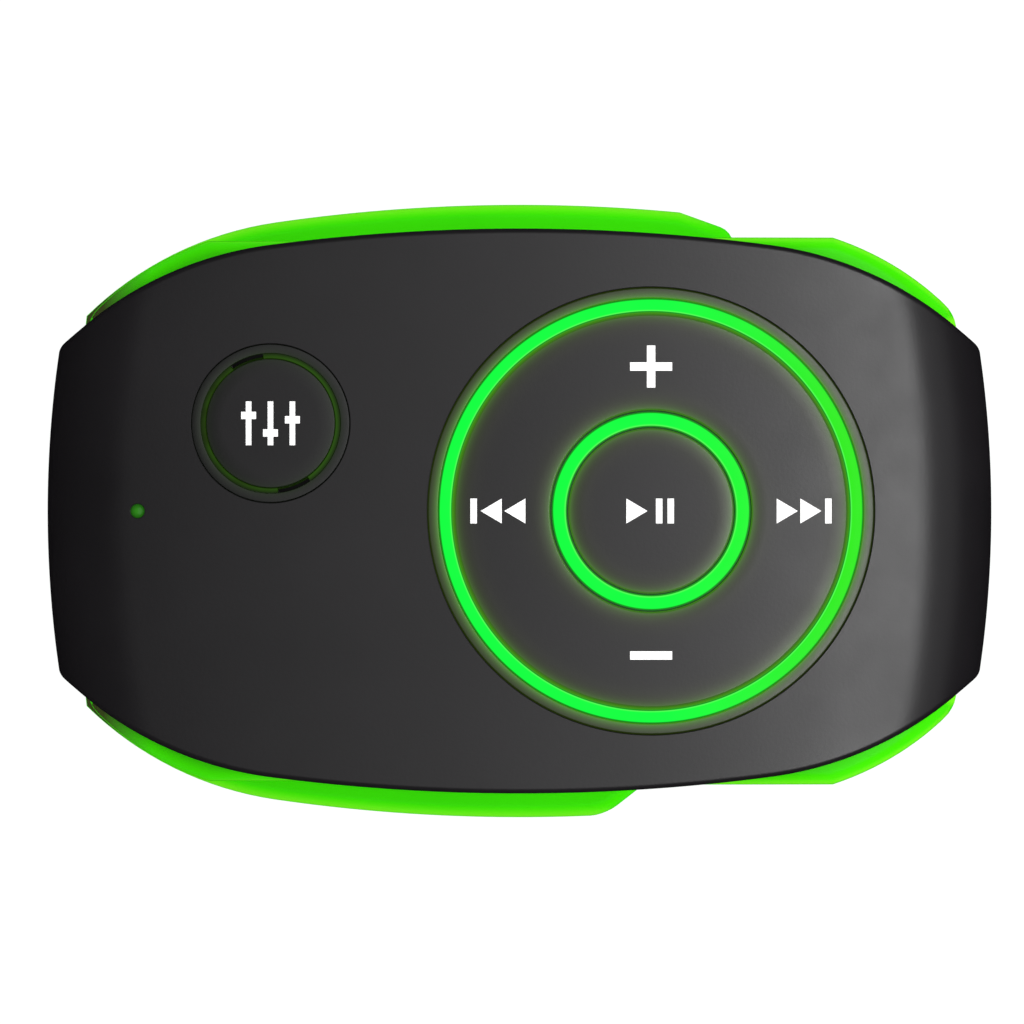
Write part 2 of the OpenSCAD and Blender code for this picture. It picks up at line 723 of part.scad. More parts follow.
module eq_light_ring() color("#4c7a10") intersection() {
    translate([eq_x, eq_y, 0]) difference() {
        ring(eq_glow_r, eq_glow_r - eq_glow_w, eq_glow_z, top_z + over);
        bridges(bridge_gap);
    }
    under_crown(fit_gap);
}

module eq_button() color("#2b2b2d") difference() {
    intersection() {
        translate([eq_x, eq_y, 0]) push_key(eq_r, eq_glow_r - key_gap, eq_key_z);
        under_crown();
    }
    skin(-over, legend_t) tall() eq_marks();
}

pipe_collar_w = 0.35;
pipe_collar_t = 0.15;
module status_light_pipe() color("#3f9a10") intersection() {
    translate([led_x, 0, board_top + led_h + fit_gap]) {
        cylinder(r = led_r, h = body_h);
        cylinder(r = led_r + pipe_collar_w, h = pipe_collar_t);
    }
    under_crown(fit_gap / 2);
}

// ---------- Electronics ----------

board_x = half_l - 4.6;
board_cut_x = half_l - 10;
board_half_w = shell_inner_w - 0.4;
board_end_w = half_w - 9.1;
module main_board() color("#1c6b3a") difference() {
    prism(rounded([[-board_x, board_end_w, 0.8], [-board_cut_x, board_half_w, 1.5],
                   [board_cut_x, board_half_w, 1.5], [board_x, board_end_w, 0.8],
                   [board_x, -board_end_w, 0.8], [board_cut_x, -board_half_w, 1.5],
                   [-board_cut_x, -board_half_w, 1.5], [-board_x, -board_end_w, 0.8]]), board_z, board_top);
    for (p = case_screw_at) translate([p.x, p.y, board_z - over])
        cylinder(r = boss_r + 0.3, h = board_t + 2 * over);
    for (p = board_screw_at) translate([p.x, p.y, board_z - over])
        cylinder(r = board_screw_r + fit_gap, h = board_t + 2 * over);
}

module board_screws() color("#9a9a9e") for (p = board_screw_at)
    translate([p.x, p.y, board_z - fit_gap / 2 - board_screw_head_h])
        screw(board_screw_head_r, board_screw_head_h, board_screw_r, board_screw_l);

// A thin sprung metal dome that stands on the board
dome_t = 0.1;
module dome() {
    ball_r = (dome_r * dome_r + dome_h * dome_h) / (2 * dome_h);
    translate([0, 0, board_top]) intersection() {
        translate([0, 0, dome_h - ball_r]) difference() {
            sphere(ball_r);
            sphere(ball_r - dome_t);
        }
        cylinder(r = dome_r, h = dome_h + over);
    }
}
module rocker_domes() color("#d0d0d4") translate([control_x, 0, 0])
    for (a = [0:90:270]) rotate(a) translate([dome_at, 0, 0]) dome();
module play_dome() color("#d0d0d4") translate([control_x, 0, 0]) dome();
module eq_dome() color("#d0d0d4") translate([eq_x, eq_y, 0]) dome();

// Lights that stand in a circle round a point
led_size = [0.5, 1, led_h];
module leds(x, y, r, angles) translate([x, y, 0])
    for (a = angles) rotate(a) block(r, 0, led_size, board_top);
module ring_leds() color("#e8f0c0") {
    leds(control_x, 0, outer_glow_r - outer_glow_w / 2, [22.5:45:337.5]);
    leds(control_x, 0, inner_mid_r, [105:120:345]);
    leds(eq_x, eq_y, eq_r - led_size.x, [20, 200]);
}
module status_led() color("#e8f0c0") leds(led_x, 0, 0, [0]);

// A chip of a given size, whose pads reach a little past it. Rows of pads run along its chosen sides.
pad_t = 0.05;
module chip(x, y, size, z, pad, step, count, all_sides) {
    block(x, y, size, z);
    pads_z = z < board_z ? z + size.z : z - pad_t;
    for (s = [-1, 1], i = [-count:count]) {
        block(x + step * i, y + s * (size.y / 2 - pad.y / 6), pad, pads_z);
        if (all_sides) block(x + s * (size.x / 2 - pad.y / 6), y + step * i, [pad.y, pad.x, pad.z], pads_z);
    }
}
memory_x = control_x + 6;
memory_y = 6.6;
chip_h = 0.8;
module processor_chip() color("#202024")
    chip(chip_x, chip_y, [6, 6, chip_h], board_top + pad_t, [0.2, 0.6, pad_t], 0.5, 4, true);
module memory_chip() color("#202024")
    chip(memory_x, memory_y, [8, 6, chip_h], board_z - pad_t - chip_h, [0.3, 0.6, pad_t], 0.8, 4, false);
module crystal() color("#c0c0c4")
    chip(chip_x + 4.8, chip_y - 1.6, [2.5, 3.2, 0.7], board_top + pad_t, [2, 0.5, pad_t], 1, 0, false);

// Chip resistors and capacitors round the processor: place and turn
small_part_at = [[-5.8, 3.8, 0], [-5.8, 2.6, 0], [5.2, 1.8, 0], [5.2, 2.8, 0], [-1.5, 4.2, 90], [0, 4.2, 90],
                 [-4.6, -4.8, 90], [-3.2, -4.8, 90], [-1.3, -4.8, 90], [0.2, -4.8, 90], [2.4, -4.6, 90],
                 [4, -5, 90]];
small_size = [0.5, 0.5, 0.45];
small_end = [0.26, 0.56, 0.5];
module small_parts() color("#b59a6a") for (p = small_part_at)
    translate([chip_x + p.x, chip_y + p.y, board_top]) rotate(p.z) {
        block(0, 0, small_size, 0);
        for (s = [-1, 1]) block(s * (small_size.x + small_end.x) / 2, 0, small_end, 0);
    }

// ---------- Sockets and switch ----------

jack_mouth_y = fit_gap - shell_half_w;
jack_depth = 14.3;
jack_back = 0.4;
jack_body_y = fit_gap - shell_inner_w;
jack_body_l = jack_mouth_y + jack_depth + jack_back - jack_body_y;
terminal_size = [0.22, 0.9, board_z - jack_z];
terminal_seat = 0.5;
terminal_at = [3, 8.5];
module jack_terminals(size) for (s = [-1, 1], y = terminal_at)
    block(jack_x + s * (jack_body_w - terminal_seat) / 2, jack_body_y + y, size, jack_z);
module jack_round(r, from, to) along_y([jack_x, (from + to) / 2, jack_z], r, to - from);
module headphone_socket() color("#151517") difference() {
    union() {
        block(jack_x, jack_body_y + jack_body_l / 2, [jack_body_w, jack_body_l, 2 * jack_nose_r],
              jack_z - jack_nose_r);
        jack_round(jack_nose_r, jack_mouth_y, jack_body_y + over);
    }
    jack_round(jack_bore_r, jack_mouth_y - over, jack_mouth_y + jack_depth);
    jack_terminals([terminal_seat + over / 10, terminal_size.y + fit_gap, jack_nose_r + over]);
}
module headphone_terminals() color("#d9b45a") jack_terminals(terminal_size);

usb_mouth_y = usb_play - shell_half_w;
usb_l = 5.2;
usb_wall = 0.3;
usb_back_l = 1.2;
usb_fit = 0.02;
tongue_size = [3.6, 3, 0.55];
tongue_z = usb_z + 0.05;
contact_size = [0.35, 2.6, 0.12];
contact_step = 0.65;
usb_inner_y = usb_mouth_y + usb_l - usb_wall - usb_fit;
contact_y = usb_inner_y - usb_back_l - contact_size.y / 2 - fit_gap;
module usb_shell() color("#c4c4c8") difference() {
    usb_prism(0, usb_mouth_y, usb_mouth_y + usb_l);
    usb_prism(usb_wall, usb_mouth_y - over, usb_mouth_y + usb_l - usb_wall);
}
module usb_tongue() color("#18181a") {
    usb_prism(usb_wall + usb_fit, usb_inner_y - usb_back_l, usb_inner_y);
    block(usb_x, usb_inner_y - usb_back_l / 2 - tongue_size.y / 2, tongue_size, tongue_z);
}
module usb_contacts() color("#d9b45a") for (i = [-2:2])
    block(usb_x + i * contact_step, contact_y, contact_size, tongue_z - contact_size.z);

switch_size = [6.7, 2.6, 1.5];
switch_slot_w = 1.2;
module power_switch() color("#b0b0b4") difference() {
    block(slider_x - slider_travel / 2, board_half_w - switch_size.y / 2, switch_size, board_top);
    slider_room(slider_stem, board_half_w - switch_slot_w, switch_slot_w + over);
}

// The knob's plate slides in the shell's recess, and its stem reaches into the switch
plate_y = shell_half_w - slider_recess + fit_gap;
module power_slider() color("#222224") difference() {
    union() {
        block(slider_x, plate_y + slider_plate.y / 2, slider_plate, slider_z - slider_plate.z / 2);
        block(slider_x, plate_y + slider_gap - slider_stem.y / 2, slider_stem, slider_z - slider_stem.z / 2);
    }
    for (i = [-1:1]) translate([slider_x + 0.9 * i, plate_y + slider_plate.y, slider_z])
        cylinder(r = 0.2, h = 2 * slider_plate.z, center = true);
}

// ---------- Battery ----------

battery_gap = 0.4;
battery_side_gap = 1.3;
battery_round = 0.7;
tape_t = 0.2;
tape_margin = 1.5;
seal_l = 1.5;
seal_margin = 0.8;
pouch_l = battery_l - seal_l;
battery_from = boss_r + battery_gap - screw_x;
battery_y = shell_inner_w - battery_side_gap - battery_w / 2;
battery_z = floor_z + tape_t;
module battery() color("#c9ccd2") {
    half = battery_w / 2;
    translate([battery_from, battery_y, battery_z]) rotate([90, 0, 90]) linear_extrude(pouch_l)
        polygon(rounded([[-half, 0, battery_round], [-half, battery_t, battery_round],
                         [half, battery_t, battery_round], [half, 0, battery_round]]));
    // Folded seal, over the protection circuit, at the end where the leads leave
    block(battery_from + pouch_l + seal_l / 2, battery_y,
          [seal_l, battery_w - 2 * seal_margin, battery_t - 2 * seal_margin], battery_z + seal_margin);
}
module battery_tape() color("#e9e6dc") {
    size = [pouch_l - 2 * tape_margin, battery_w - 2 * tape_margin, tape_t];
    block(battery_from + pouch_l / 2, battery_y, size, floor_z);
}

// Each lead leaves the battery's end, turns up and is soldered to the underside of the board
lead_r = 0.35;
lead_start = 0.3;
lead_bend = 1.2;
lead_y = 2.2;
lead_x = battery_from + battery_l;
lead_z = battery_z + battery_t / 2;
function lead_path(y) = concat(
    [[lead_x, y, lead_z]],
    [for (a = [0:15:90]) [lead_x + lead_start + lead_bend * sin(a), y, lead_z + lead_bend * (1 - cos(a))]],
    [[lead_x + lead_start + lead_bend, y, board_z]]);
module battery_lead_red() color("#c01818") swept(lead_path(battery_y + lead_y), lead_r);
module battery_lead_black() color("#101012") swept(lead_path(battery_y - lead_y), lead_r);

front_cover();
rear_shell();
case_screws();
clip_arm();
clip_pin();
clip_spring();
control_bezel();
outer_light_ring();
rocker_ring();
rocker_keymat();
rocker_legends();
inner_light_ring();
play_button();
play_legend();
eq_bezel();
eq_light_ring();
eq_button();
eq_legend();
status_light_pipe();
main_board();
board_screws();
rocker_domes();
play_dome();
eq_dome();
ring_leds();
status_led();
processor_chip();
memory_chip();
crystal();
small_parts();
headphone_socket();
headphone_terminals();
usb_shell();
usb_tongue();
usb_contacts();
power_switch();
power_slider();
battery();
battery_tape();
battery_lead_red();
battery_lead_black();
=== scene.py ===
import math

import bmesh
import bpy
from mathutils import Matrix, Vector


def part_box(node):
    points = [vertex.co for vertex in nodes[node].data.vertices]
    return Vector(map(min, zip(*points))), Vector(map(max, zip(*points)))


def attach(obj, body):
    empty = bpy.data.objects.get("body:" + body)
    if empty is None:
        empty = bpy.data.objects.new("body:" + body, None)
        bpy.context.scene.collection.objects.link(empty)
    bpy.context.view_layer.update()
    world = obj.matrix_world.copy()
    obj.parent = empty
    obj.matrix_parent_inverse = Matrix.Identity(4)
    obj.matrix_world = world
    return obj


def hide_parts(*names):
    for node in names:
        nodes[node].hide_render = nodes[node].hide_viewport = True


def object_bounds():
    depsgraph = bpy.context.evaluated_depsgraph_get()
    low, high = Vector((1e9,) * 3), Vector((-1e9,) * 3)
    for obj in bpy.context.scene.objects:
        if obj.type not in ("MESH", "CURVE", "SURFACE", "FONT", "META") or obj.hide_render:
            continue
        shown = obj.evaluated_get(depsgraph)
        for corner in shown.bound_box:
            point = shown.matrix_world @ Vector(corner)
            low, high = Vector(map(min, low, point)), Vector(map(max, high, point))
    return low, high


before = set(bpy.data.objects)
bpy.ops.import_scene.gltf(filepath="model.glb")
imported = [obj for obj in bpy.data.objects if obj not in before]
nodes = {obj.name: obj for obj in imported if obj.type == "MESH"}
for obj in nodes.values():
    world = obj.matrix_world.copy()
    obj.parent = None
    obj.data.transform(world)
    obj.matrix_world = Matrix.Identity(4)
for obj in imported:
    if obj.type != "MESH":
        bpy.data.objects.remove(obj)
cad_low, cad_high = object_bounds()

mm = 0.001


# ---------- Front cover ----------
# The front moulding wraps over both ends like a strap. It is soft-touch charcoal plastic, moulded in one
# piece with a deeper rim along its long sides, and screw bosses inside hold the rest of the player to it.

cover_low, cover_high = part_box("front_cover")
half_l, half_w, top_z, back_z = cover_high.x, cover_high.y, cover_high.z, cover_low.z
cover_wall, rim_depth, rim_width = 1.6 * mm, 2.6 * mm, 1.5 * mm
crown_fall, bend_r, foot_r = 4.4 * mm, 6 * mm, 1 * mm
crown_r = (half_l**2 + crown_fall**2) / (2 * crown_fall)


def side_arcs(drop=0.0, end=0.0, pull=0.0):
    """Crown radius, bend radius, bend centre and the angle where they meet. The skin may lie lower by drop,
    further in by end at the end wall, and its end wall may be pulled in."""
    crown, bend = crown_r - drop, bend_r - end
    turn = math.asin((half_l - pull - bend_r) / (crown - bend))
    centre = Vector((half_l - pull - bend_r, 0, top_z - crown_r + (crown - bend) * math.cos(turn)))
    return crown, bend, centre, turn


def crown_z(x, drop=0.0, end=0.0):
    """Height of the crowned face, or of a skin lowered by drop, at a distance along the player."""
    crown, bend, centre, turn = side_arcs(drop, end)
    x = abs(x)
    if x > crown * math.sin(turn):
        return centre.z + math.sqrt(max(0.0, bend**2 - (x - centre.x) ** 2))
    return top_z - crown_r + math.sqrt(crown**2 - x**2)


def verts_in(geom):
    return [g for g in geom if isinstance(g, bmesh.types.BMVert)]


def walk(bm, start, legs, axis="Z"):
    """Traces an outline. A leg is a point to go straight to, or a centre, degrees and steps to swing round."""
    vert = bm.verts.new(start)
    for leg in legs:
        if isinstance(leg, Vector):
            onward = bm.verts.new(leg)
            bm.edges.new((vert, onward))
            vert = onward
        else:
            centre, degrees, steps = leg
            turned = bmesh.ops.spin(bm, geom=[vert], cent=centre, axis=Vector([a == axis for a in "XYZ"]),
                                    angle=math.radians(degrees), steps=steps)
            vert = verts_in(turned["geom_last"])[0]
    return vert


def soften(bm, radius, chosen, steps=3, sharp=25):
    """Rounds the sharp edges whose middle is chosen."""
    bm.normal_update()
    edges = [e for e in bm.edges if len(e.link_faces) == 2 and e.calc_face_angle() > math.radians(sharp)
             and chosen((e.verts[0].co + e.verts[1].co) / 2)]
    bmesh.ops.bevel(bm, geom=edges, offset=radius, segments=steps, profile=0.5, material=-1, affect="EDGES",
                    clamp_overlap=True)


def reflect(bm, axis):
    """Adds the other half of an outline."""
    bmesh.ops.mirror(bm, geom=bm.verts[:] + bm.edges[:], matrix=Matrix.Identity(4), axis=axis, merge_dist=1e-7)


def closed(bm):
    """Merges what a spin or mirror left double, and turns every face outwards."""
    bmesh.ops.remove_doubles(bm, verts=bm.verts, dist=1e-7)
    bmesh.ops.recalc_face_normals(bm, faces=bm.faces)
    return bm


def combine(bm, other, operation="DIFFERENCE"):
    """Cuts a closed mesh with another one, or joins the two."""
    pair = []
    for part in (bm, other):
        mesh = bpy.data.meshes.new("work")
        part.to_mesh(mesh)
        part.free()
        pair.append(bpy.data.objects.new("work", mesh))
        bpy.context.scene.collection.objects.link(pair[-1])
    step = pair[0].modifiers.new("step", "BOOLEAN")
    step.operation, step.object, step.solver, step.use_self = operation, pair[1], "EXACT", True
    done = bmesh.new()
    done.from_object(pair[0], bpy.context.evaluated_depsgraph_get())
    for work in pair:
        bpy.data.meshes.remove(work.data)
    return done


def gather(bm, part):
    """Puts a finished mesh into another, without joining the two."""
    mesh = bpy.data.meshes.new("work")
    part.to_mesh(mesh)
    part.free()
    bm.from_mesh(mesh)
    bpy.data.meshes.remove(mesh)


def rod(bm, at, radius, length, axis="Y", sides=48, tip=None):
    """Adds a round rod along Y or Z, given by its middle. A tip radius makes it a cone."""
    turn = Matrix.Rotation(-math.pi / 2, 4, "X") if axis == "Y" else Matrix.Identity(4)
    bmesh.ops.create_cone(bm, cap_ends=True, segments=sides, radius1=radius, radius2=radius if tip is None else tip,
                          depth=length, matrix=Matrix.Translation(at) @ turn)


def slab(bm, middle, size):
    """Adds a block, given by its middle and size."""
    bmesh.ops.create_cube(bm, size=1, matrix=Matrix.Translation(middle) @ Matrix.Diagonal((*size, 1)))


def lathe(profile, centre, steps, sweep=360, start=0):
    """A solid turned round a vertical line from a closed profile of radii and heights."""
    bm = bmesh.new()
    verts = [bm.verts.new((r, 0, z)) for r, z in profile]
    bmesh.ops.rotate(bm, verts=verts, cent=(0, 0, 0), matrix=Matrix.Rotation(math.radians(start), 3, "Z"))
    if sweep == 360:
        edges = [bm.edges.new((a, b)) for a, b in zip(verts, verts[1:] + verts[:1])]
        bmesh.ops.spin(bm, geom=verts + edges, cent=(0, 0, 0), axis=(0, 0, 1), angle=math.tau, steps=steps,
                       use_merge=True)
    else:
        bmesh.ops.spin(bm, geom=[bm.faces.new(verts)], cent=(0, 0, 0), axis=(0, 0, 1),
                       angle=math.radians(sweep), steps=steps)
    bmesh.ops.translate(bm, verts=bm.verts, vec=centre)
    bmesh.ops.dissolve_degenerate(bm, edges=bm.edges, dist=1e-7)
    return closed(bm)


def crowned(bm, above):
    """Lets everything higher than a level follow the crown of the cover."""
    for v in bm.verts:
        if v.co.z > above:
            v.co.z += crown_z(v.co.x) - top_z
    return bm


class Level:
    """A number or colour on its way through a finish's nodes. Arithmetic on it adds the nodes."""

    def __init__(self, tree, socket):
        self.tree, self.socket = tree, socket

    def node(self, kind, inputs, out=0, **settings):
        made = self.tree.nodes.new(kind)
        for name, value in settings.items():
            setattr(made, name, value)
        for name, value in inputs.items():
            if isinstance(value, Level):
                self.tree.links.new(value.socket, made.inputs[name])
            else:
                made.inputs[name].default_value = value
        return Level(self.tree, made.outputs[out])

    def maths(self, operation, first, second=0.0):
        return self.node("ShaderNodeMath", {0: first, 1: second}, operation=operation)

    def __add__(self, other): return self.maths("ADD", self, other)
    def __sub__(self, other): return self.maths("SUBTRACT", self, other)
    def __rsub__(self, other): return self.maths("SUBTRACT", other, self)
    def __mul__(self, other): return self.maths("MULTIPLY", self, other)
    def __pow__(self, other): return self.maths("POWER", self, other)
    def __rpow__(self, other): return self.maths("POWER", other, self)
    def __abs__(self): return self.maths("ABSOLUTE", self)
    __radd__, __rmul__ = __add__, __mul__

    def at_least(self, other):
        return self.maths("MAXIMUM", self, other)

    def over(self, low, high):
        """0 at low and under, 1 at high and over."""
        return self.node("ShaderNodeMapRange", {"Value": self, "From Min": low, "From Max": high})

    def mix(self, a, b, how="MIX"):
        return self.node("ShaderNodeMix", {0: self, 6: a, 7: b}, 2, data_type="RGBA", blend_type=how)

    def noise(self, scale, detail=2.0, rough=0.5):
        return self.node("ShaderNodeTexNoise", {"Vector": self, "Scale": scale, "Detail": detail,
                                                "Roughness": rough})


def rgb(r, g, b):
    return (r, g, b, 1.0)


def shade(colour, by):
    return rgb(*(min(1.0, c * by) for c in colour[:3]))


class Finish:
    """A material with the numbers that are the same all over it set on its shader."""

    def __init__(self, name, metallic=0.0, specular=0.5, coat=0.0):
        self.material = bpy.data.materials.new(name)
        self.material.use_nodes = True
        self.tree = self.material.node_tree
        self.shader = self.tree.nodes["Principled BSDF"]
        for socket, value in (("Metallic", metallic), ("Specular IOR Level", specular), ("Coat Weight", coat)):
            self.shader.inputs[socket].default_value = value
        self.place = Level(self.tree, self.tree.nodes.new("ShaderNodeTexCoord").outputs["Object"])

    def feed(self, socket, level):
        self.tree.links.new(level.socket, self.shader.inputs[socket])

    def grain(self, height, depth):
        self.feed("Normal", self.place.node("ShaderNodeBump", {"Strength": 1.0, "Distance": depth, "Height": height}))

    # Emission: real light for the lit rings and the status lens, painted glow for the charcoal and the white marks
    def glow(self, level):
        self.shader.inputs["Emission Strength"].default_value = 1.0
        self.feed("Emission Color", level)

    def from_centre(self, x, y):
        """Distance from a vertical line at x, y."""
        moved = self.place.node("ShaderNodeVectorMath", {0: self.place, 1: (-x, -y, 0)}, operation="ADD")
        flat = moved.node("ShaderNodeVectorMath", {0: moved, 1: (1, 1, 0)}, operation="MULTIPLY")
        return flat.node("ShaderNodeVectorMath", {0: flat}, "Value", operation="LENGTH")

    def across(self, axis):
        return self.place.node("ShaderNodeSeparateXYZ", {0: self.place}, axis)


def charcoal(name, painted_glows=()):
    """Soft-touch charcoal: a faint purplish drift, a fine spark-eroded grain, and a painted glow beside a light ring,
    as if the ring's light spilled onto it. A painted glow is the ring's centre, its inner and outer radius, and two
    colours that fade away from it, one close by and one further out."""
    colour, rough, near_reach, far_reach = rgb(0.0076, 0.0066, 0.0079), 0.38, 0.18 * mm, 0.4 * mm
    made = Finish(name)
    drift = made.place.noise(90, 3).over(0.35, 0.65)
    grain = made.place.noise(5200, 2, 0.6)
    made.feed("Base Color", drift.mix(shade(colour, 0.9), shade(colour, 1.12)))
    wiped = made.place.noise(300, 4).over(0.3, 0.7)
    made.feed("Roughness", rough - 0.03 + 0.06 * wiped + 0.05 * (grain - 0.5))
    made.grain(grain, 0.004 * mm)
    if painted_glows:
        # Painted glow: emission that fades away from each light ring across the charcoal
        light = rgb(0, 0, 0)
        for x, y, inner, outer, near, far in painted_glows:
            away = made.from_centre(x, y)
            gap = (inner - away).at_least(away - outer).at_least(0.0)
            for tint, reach in ((near, near_reach), (far, far_reach)):
                fall = 2.718 ** (gap * (-1 / reach))
                light = fall.mix(light, tint, "ADD")
        made.glow(light)
    return made.material


def settle(bm, name, material, body, slot, *stands_for):
    """Turns a finished mesh into a piece that rides on its body. Large faces keep their own shading."""
    mesh = bpy.data.meshes.new(name)
    bm.to_mesh(mesh)
    bm.free()
    mesh.shade_smooth()
    mesh.set_sharp_from_angle(angle=math.radians(32))
    mesh.materials.append(material)
    piece = bpy.data.objects.new(name, mesh)
    bpy.context.scene.collection.objects.link(piece)
    even = piece.modifiers.new("even", "WEIGHTED_NORMAL")
    even.keep_sharp = True
    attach(piece, body)
    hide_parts(*stands_for)
    return piece


def bow_radius(x, bow):
    """Radius of a side that bows out by some height over a distance from its middle."""
    return (x * x + bow * bow) / (2 * bow)


side_x, corner_x, corner_slope = half_l - 12.7 * mm, half_l - 2 * mm, math.radians(40)
side_r = bow_radius(side_x, 0.93 * mm)
side_turn = math.asin(side_x / side_r)
shoulder_r = (corner_x - side_x) / (math.sin(corner_slope) - math.sin(side_turn))
shoulder_at = Vector((0, half_w - side_r)) \
    + (side_r - shoulder_r) * Vector((math.sin(side_turn), math.cos(side_turn)))
corner_y = shoulder_at.y + shoulder_r * math.cos(corner_slope)
end_bulge, end_half_w, long_edge_r = 0.7 * mm, 9.4 * mm, 0.32 * mm


def cover_width(x):
    """Half the cover's width at a distance along it."""
    x = abs(x)
    if x < side_x:
        return half_w - side_r + math.sqrt(side_r**2 - x**2)
    if x < corner_x:
        return shoulder_at.y + math.sqrt(shoulder_r**2 - (x - shoulder_at.x) ** 2)
    return corner_y - (x - corner_x) * math.tan(corner_slope)


# The ends bulge: away from the middle the end wall and its bend lie further in, and meet the crown earlier
_, _, bend_centre, bend_turn = side_arcs()


def pulled(at, y):
    """Where a point of the middle profile lies at some distance from the middle."""
    pull = end_bulge * (y / end_half_w) ** 2
    _, _, centre, turn = side_arcs(pull=pull)
    x, z = abs(at.x), at.z
    if z < bend_centre.z:
        x, z = x - pull, back_z + (z - back_z) * (centre.z - back_z) / (bend_centre.z - back_z)
    else:
        angle = math.atan2(x - bend_centre.x, z - bend_centre.z)
        if angle > bend_turn:
            reach = math.hypot(x - bend_centre.x, z - bend_centre.z)
            angle = turn + (angle - bend_turn) * (math.pi / 2 - turn) / (math.pi / 2 - bend_turn)
            x, z = centre.x + reach * math.sin(angle), centre.z + reach * math.cos(angle)
        else:
            reach = math.hypot(x, z - top_z + crown_r)
            angle = math.atan2(x, z - top_z + crown_r) * turn / bend_turn
            x, z = reach * math.sin(angle), top_z - crown_r + reach * math.cos(angle)
    return Vector((math.copysign(x, at.x), y, z))


def into_cover(at, depth, end_depth):
    """A point of the cover's outside moved into its wall."""
    x, z = abs(at.x), at.z
    if z < bend_centre.z:
        return Vector((math.copysign(half_l - end_depth, at.x), at.y, z))
    turn = math.atan2(x - bend_centre.x, z - bend_centre.z)
    if turn > bend_turn:
        share = (turn - bend_turn) / (math.pi / 2 - bend_turn)
        thick = depth + (end_depth - depth) * share
        away = Vector((math.sin(turn), math.cos(turn)))
    else:
        thick = depth
        away = Vector((x, z - top_z + crown_r)).normalized()
    return Vector((math.copysign(x - thick * away.x, at.x), at.y, z - thick * away.y))


slices = 30
cover = bmesh.new()
outside = cover.verts.layers.int.new("outside")
walk(cover, Vector((0, -slices / 2, top_z)), [
    (Vector((0, 0, top_z - crown_r)), math.degrees(bend_turn), 44),
    (bend_centre, 90 - math.degrees(bend_turn), 14),
    *[Vector((half_l, -slices / 2, bend_centre.z + (back_z + foot_r - bend_centre.z) * i / 4))
      for i in range(1, 5)],
    (Vector((half_l - foot_r, 0, back_z + foot_r)), 90, 5),
], "Y")
reflect(cover, "X")
for v in cover.verts:
    v[outside] = 1
wall = bmesh.ops.extrude_edge_only(cover, edges=cover.edges[:])
for v in verts_in(wall["geom"]):
    v[outside] = 0
    v.co = into_cover(v.co, cover_wall, cover_wall)
bmesh.ops.spin(cover, geom=cover.verts[:] + cover.edges[:] + cover.faces[:], cent=(0, 0, 0), axis=(0, 1, 0),
               dvec=(0, 1, 0), angle=0, steps=slices)
# Along its long sides the wall is deeper, as a rim
rim = [f for f in cover.faces if not any(v[outside] for v in f.verts)
       and f.calc_center_median().z > bend_centre.z + 0.6 * mm
       and abs(f.calc_center_median().y) > slices / 2 - 1 and abs(f.normal.y) < 0.5]
deeper = bmesh.ops.extrude_face_region(cover, geom=rim)
for v in verts_in(deeper["geom"]):
    v.co = into_cover(v.co, rim_depth - cover_wall, 0)
bmesh.ops.delete(cover, geom=[f for f in rim if f.is_valid], context="FACES_ONLY")
# Each slice goes to its share of the width, which is found by steps because the bulge moves the end wall in
edge_verts = set()
for v in cover.verts:
    slice_at = round(v.co.y)
    width = cover_width(v.co.x)
    for _ in range(8):
        width = cover_width(pulled(v.co, width).x)
    if abs(slice_at) == slices // 2:
        edge_verts.add(v)
        v.co = pulled(v.co, math.copysign(width, slice_at))
    else:
        v.co = pulled(v.co, (width - rim_width) * slice_at / (slices / 2 - 1))
closed(cover)
long_edges = [e for e in cover.edges if all(v in edge_verts and v[outside] for v in e.verts)]
bmesh.ops.bevel(cover, geom=long_edges, offset=long_edge_r, segments=5, profile=0.5, material=-1, affect="EDGES")

# Bosses for the case screws and the board screws
board_top, seat_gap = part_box("main_board")[1].z, 0.05 * mm
case_screws = [(x * 21.2 * mm, y * 9.8 * mm) for x in (-1, 1) for y in (-1, 1)]
board_screws = [(17.5 * mm, 10.9 * mm), (17.5 * mm, -10.9 * mm), (-17.5 * mm, -9.5 * mm)]
bosses = bmesh.new()
for spots, radius, bore, low in ((case_screws, 1.7 * mm, 0.73 * mm, 7.1 * mm),
                                 (board_screws, 1.2 * mm, 0.63 * mm, board_top + seat_gap)):
    for x, y in spots:
        high = crown_z(abs(x) + 0.7 * mm, cover_wall / 2) - 0.2 * mm
        gather(bosses, lathe([(bore, low), (radius, low), (radius, high), (bore, high - 1.5 * mm)], (x, y, 0), 32))
cover = combine(cover, bosses, "UNION")

# The holes for the control, the equaliser key and the status light have a small chamfer
control_x, control_hole_r = 7.5 * mm, 12.77 * mm
eq_x, eq_y, eq_hole_r = -14.2 * mm, 5 * mm, 4.54 * mm
status_x, status_r = -21.8 * mm, 0.36 * mm
chamfer = 0.04 * mm


def hole(radius, x, y, steps):
    """A cutter for a round hole in the cover, with its chamfer on the crown."""
    over = top_z + 3 * mm
    return crowned(lathe([(0, board_top), (radius, board_top), (radius, top_z - chamfer),
                          (radius + 3 * chamfer, top_z + 2 * chamfer), (radius + 3 * chamfer, over), (0, over)],
                         (x, y, 0), steps), 16 * mm)


for radius, x, y, steps in ((control_hole_r, control_x, 0, 160), (eq_hole_r, eq_x, eq_y, 96),
                            (status_r + 0.05 * mm, status_x, 0, 32)):
    cover = combine(cover, hole(radius, x, y, steps))
settle(cover, "cover_moulding", charcoal("charcoal_cover"), "player", "cover", "front_cover")


# ---------- Rear shell ----------
# The tub behind the cover is bright green glossy plastic with rounded edges. Its shoulders show past the
# cover at the corners. Its sides have the socket holes and the slider's recess, its back the hinge lugs.

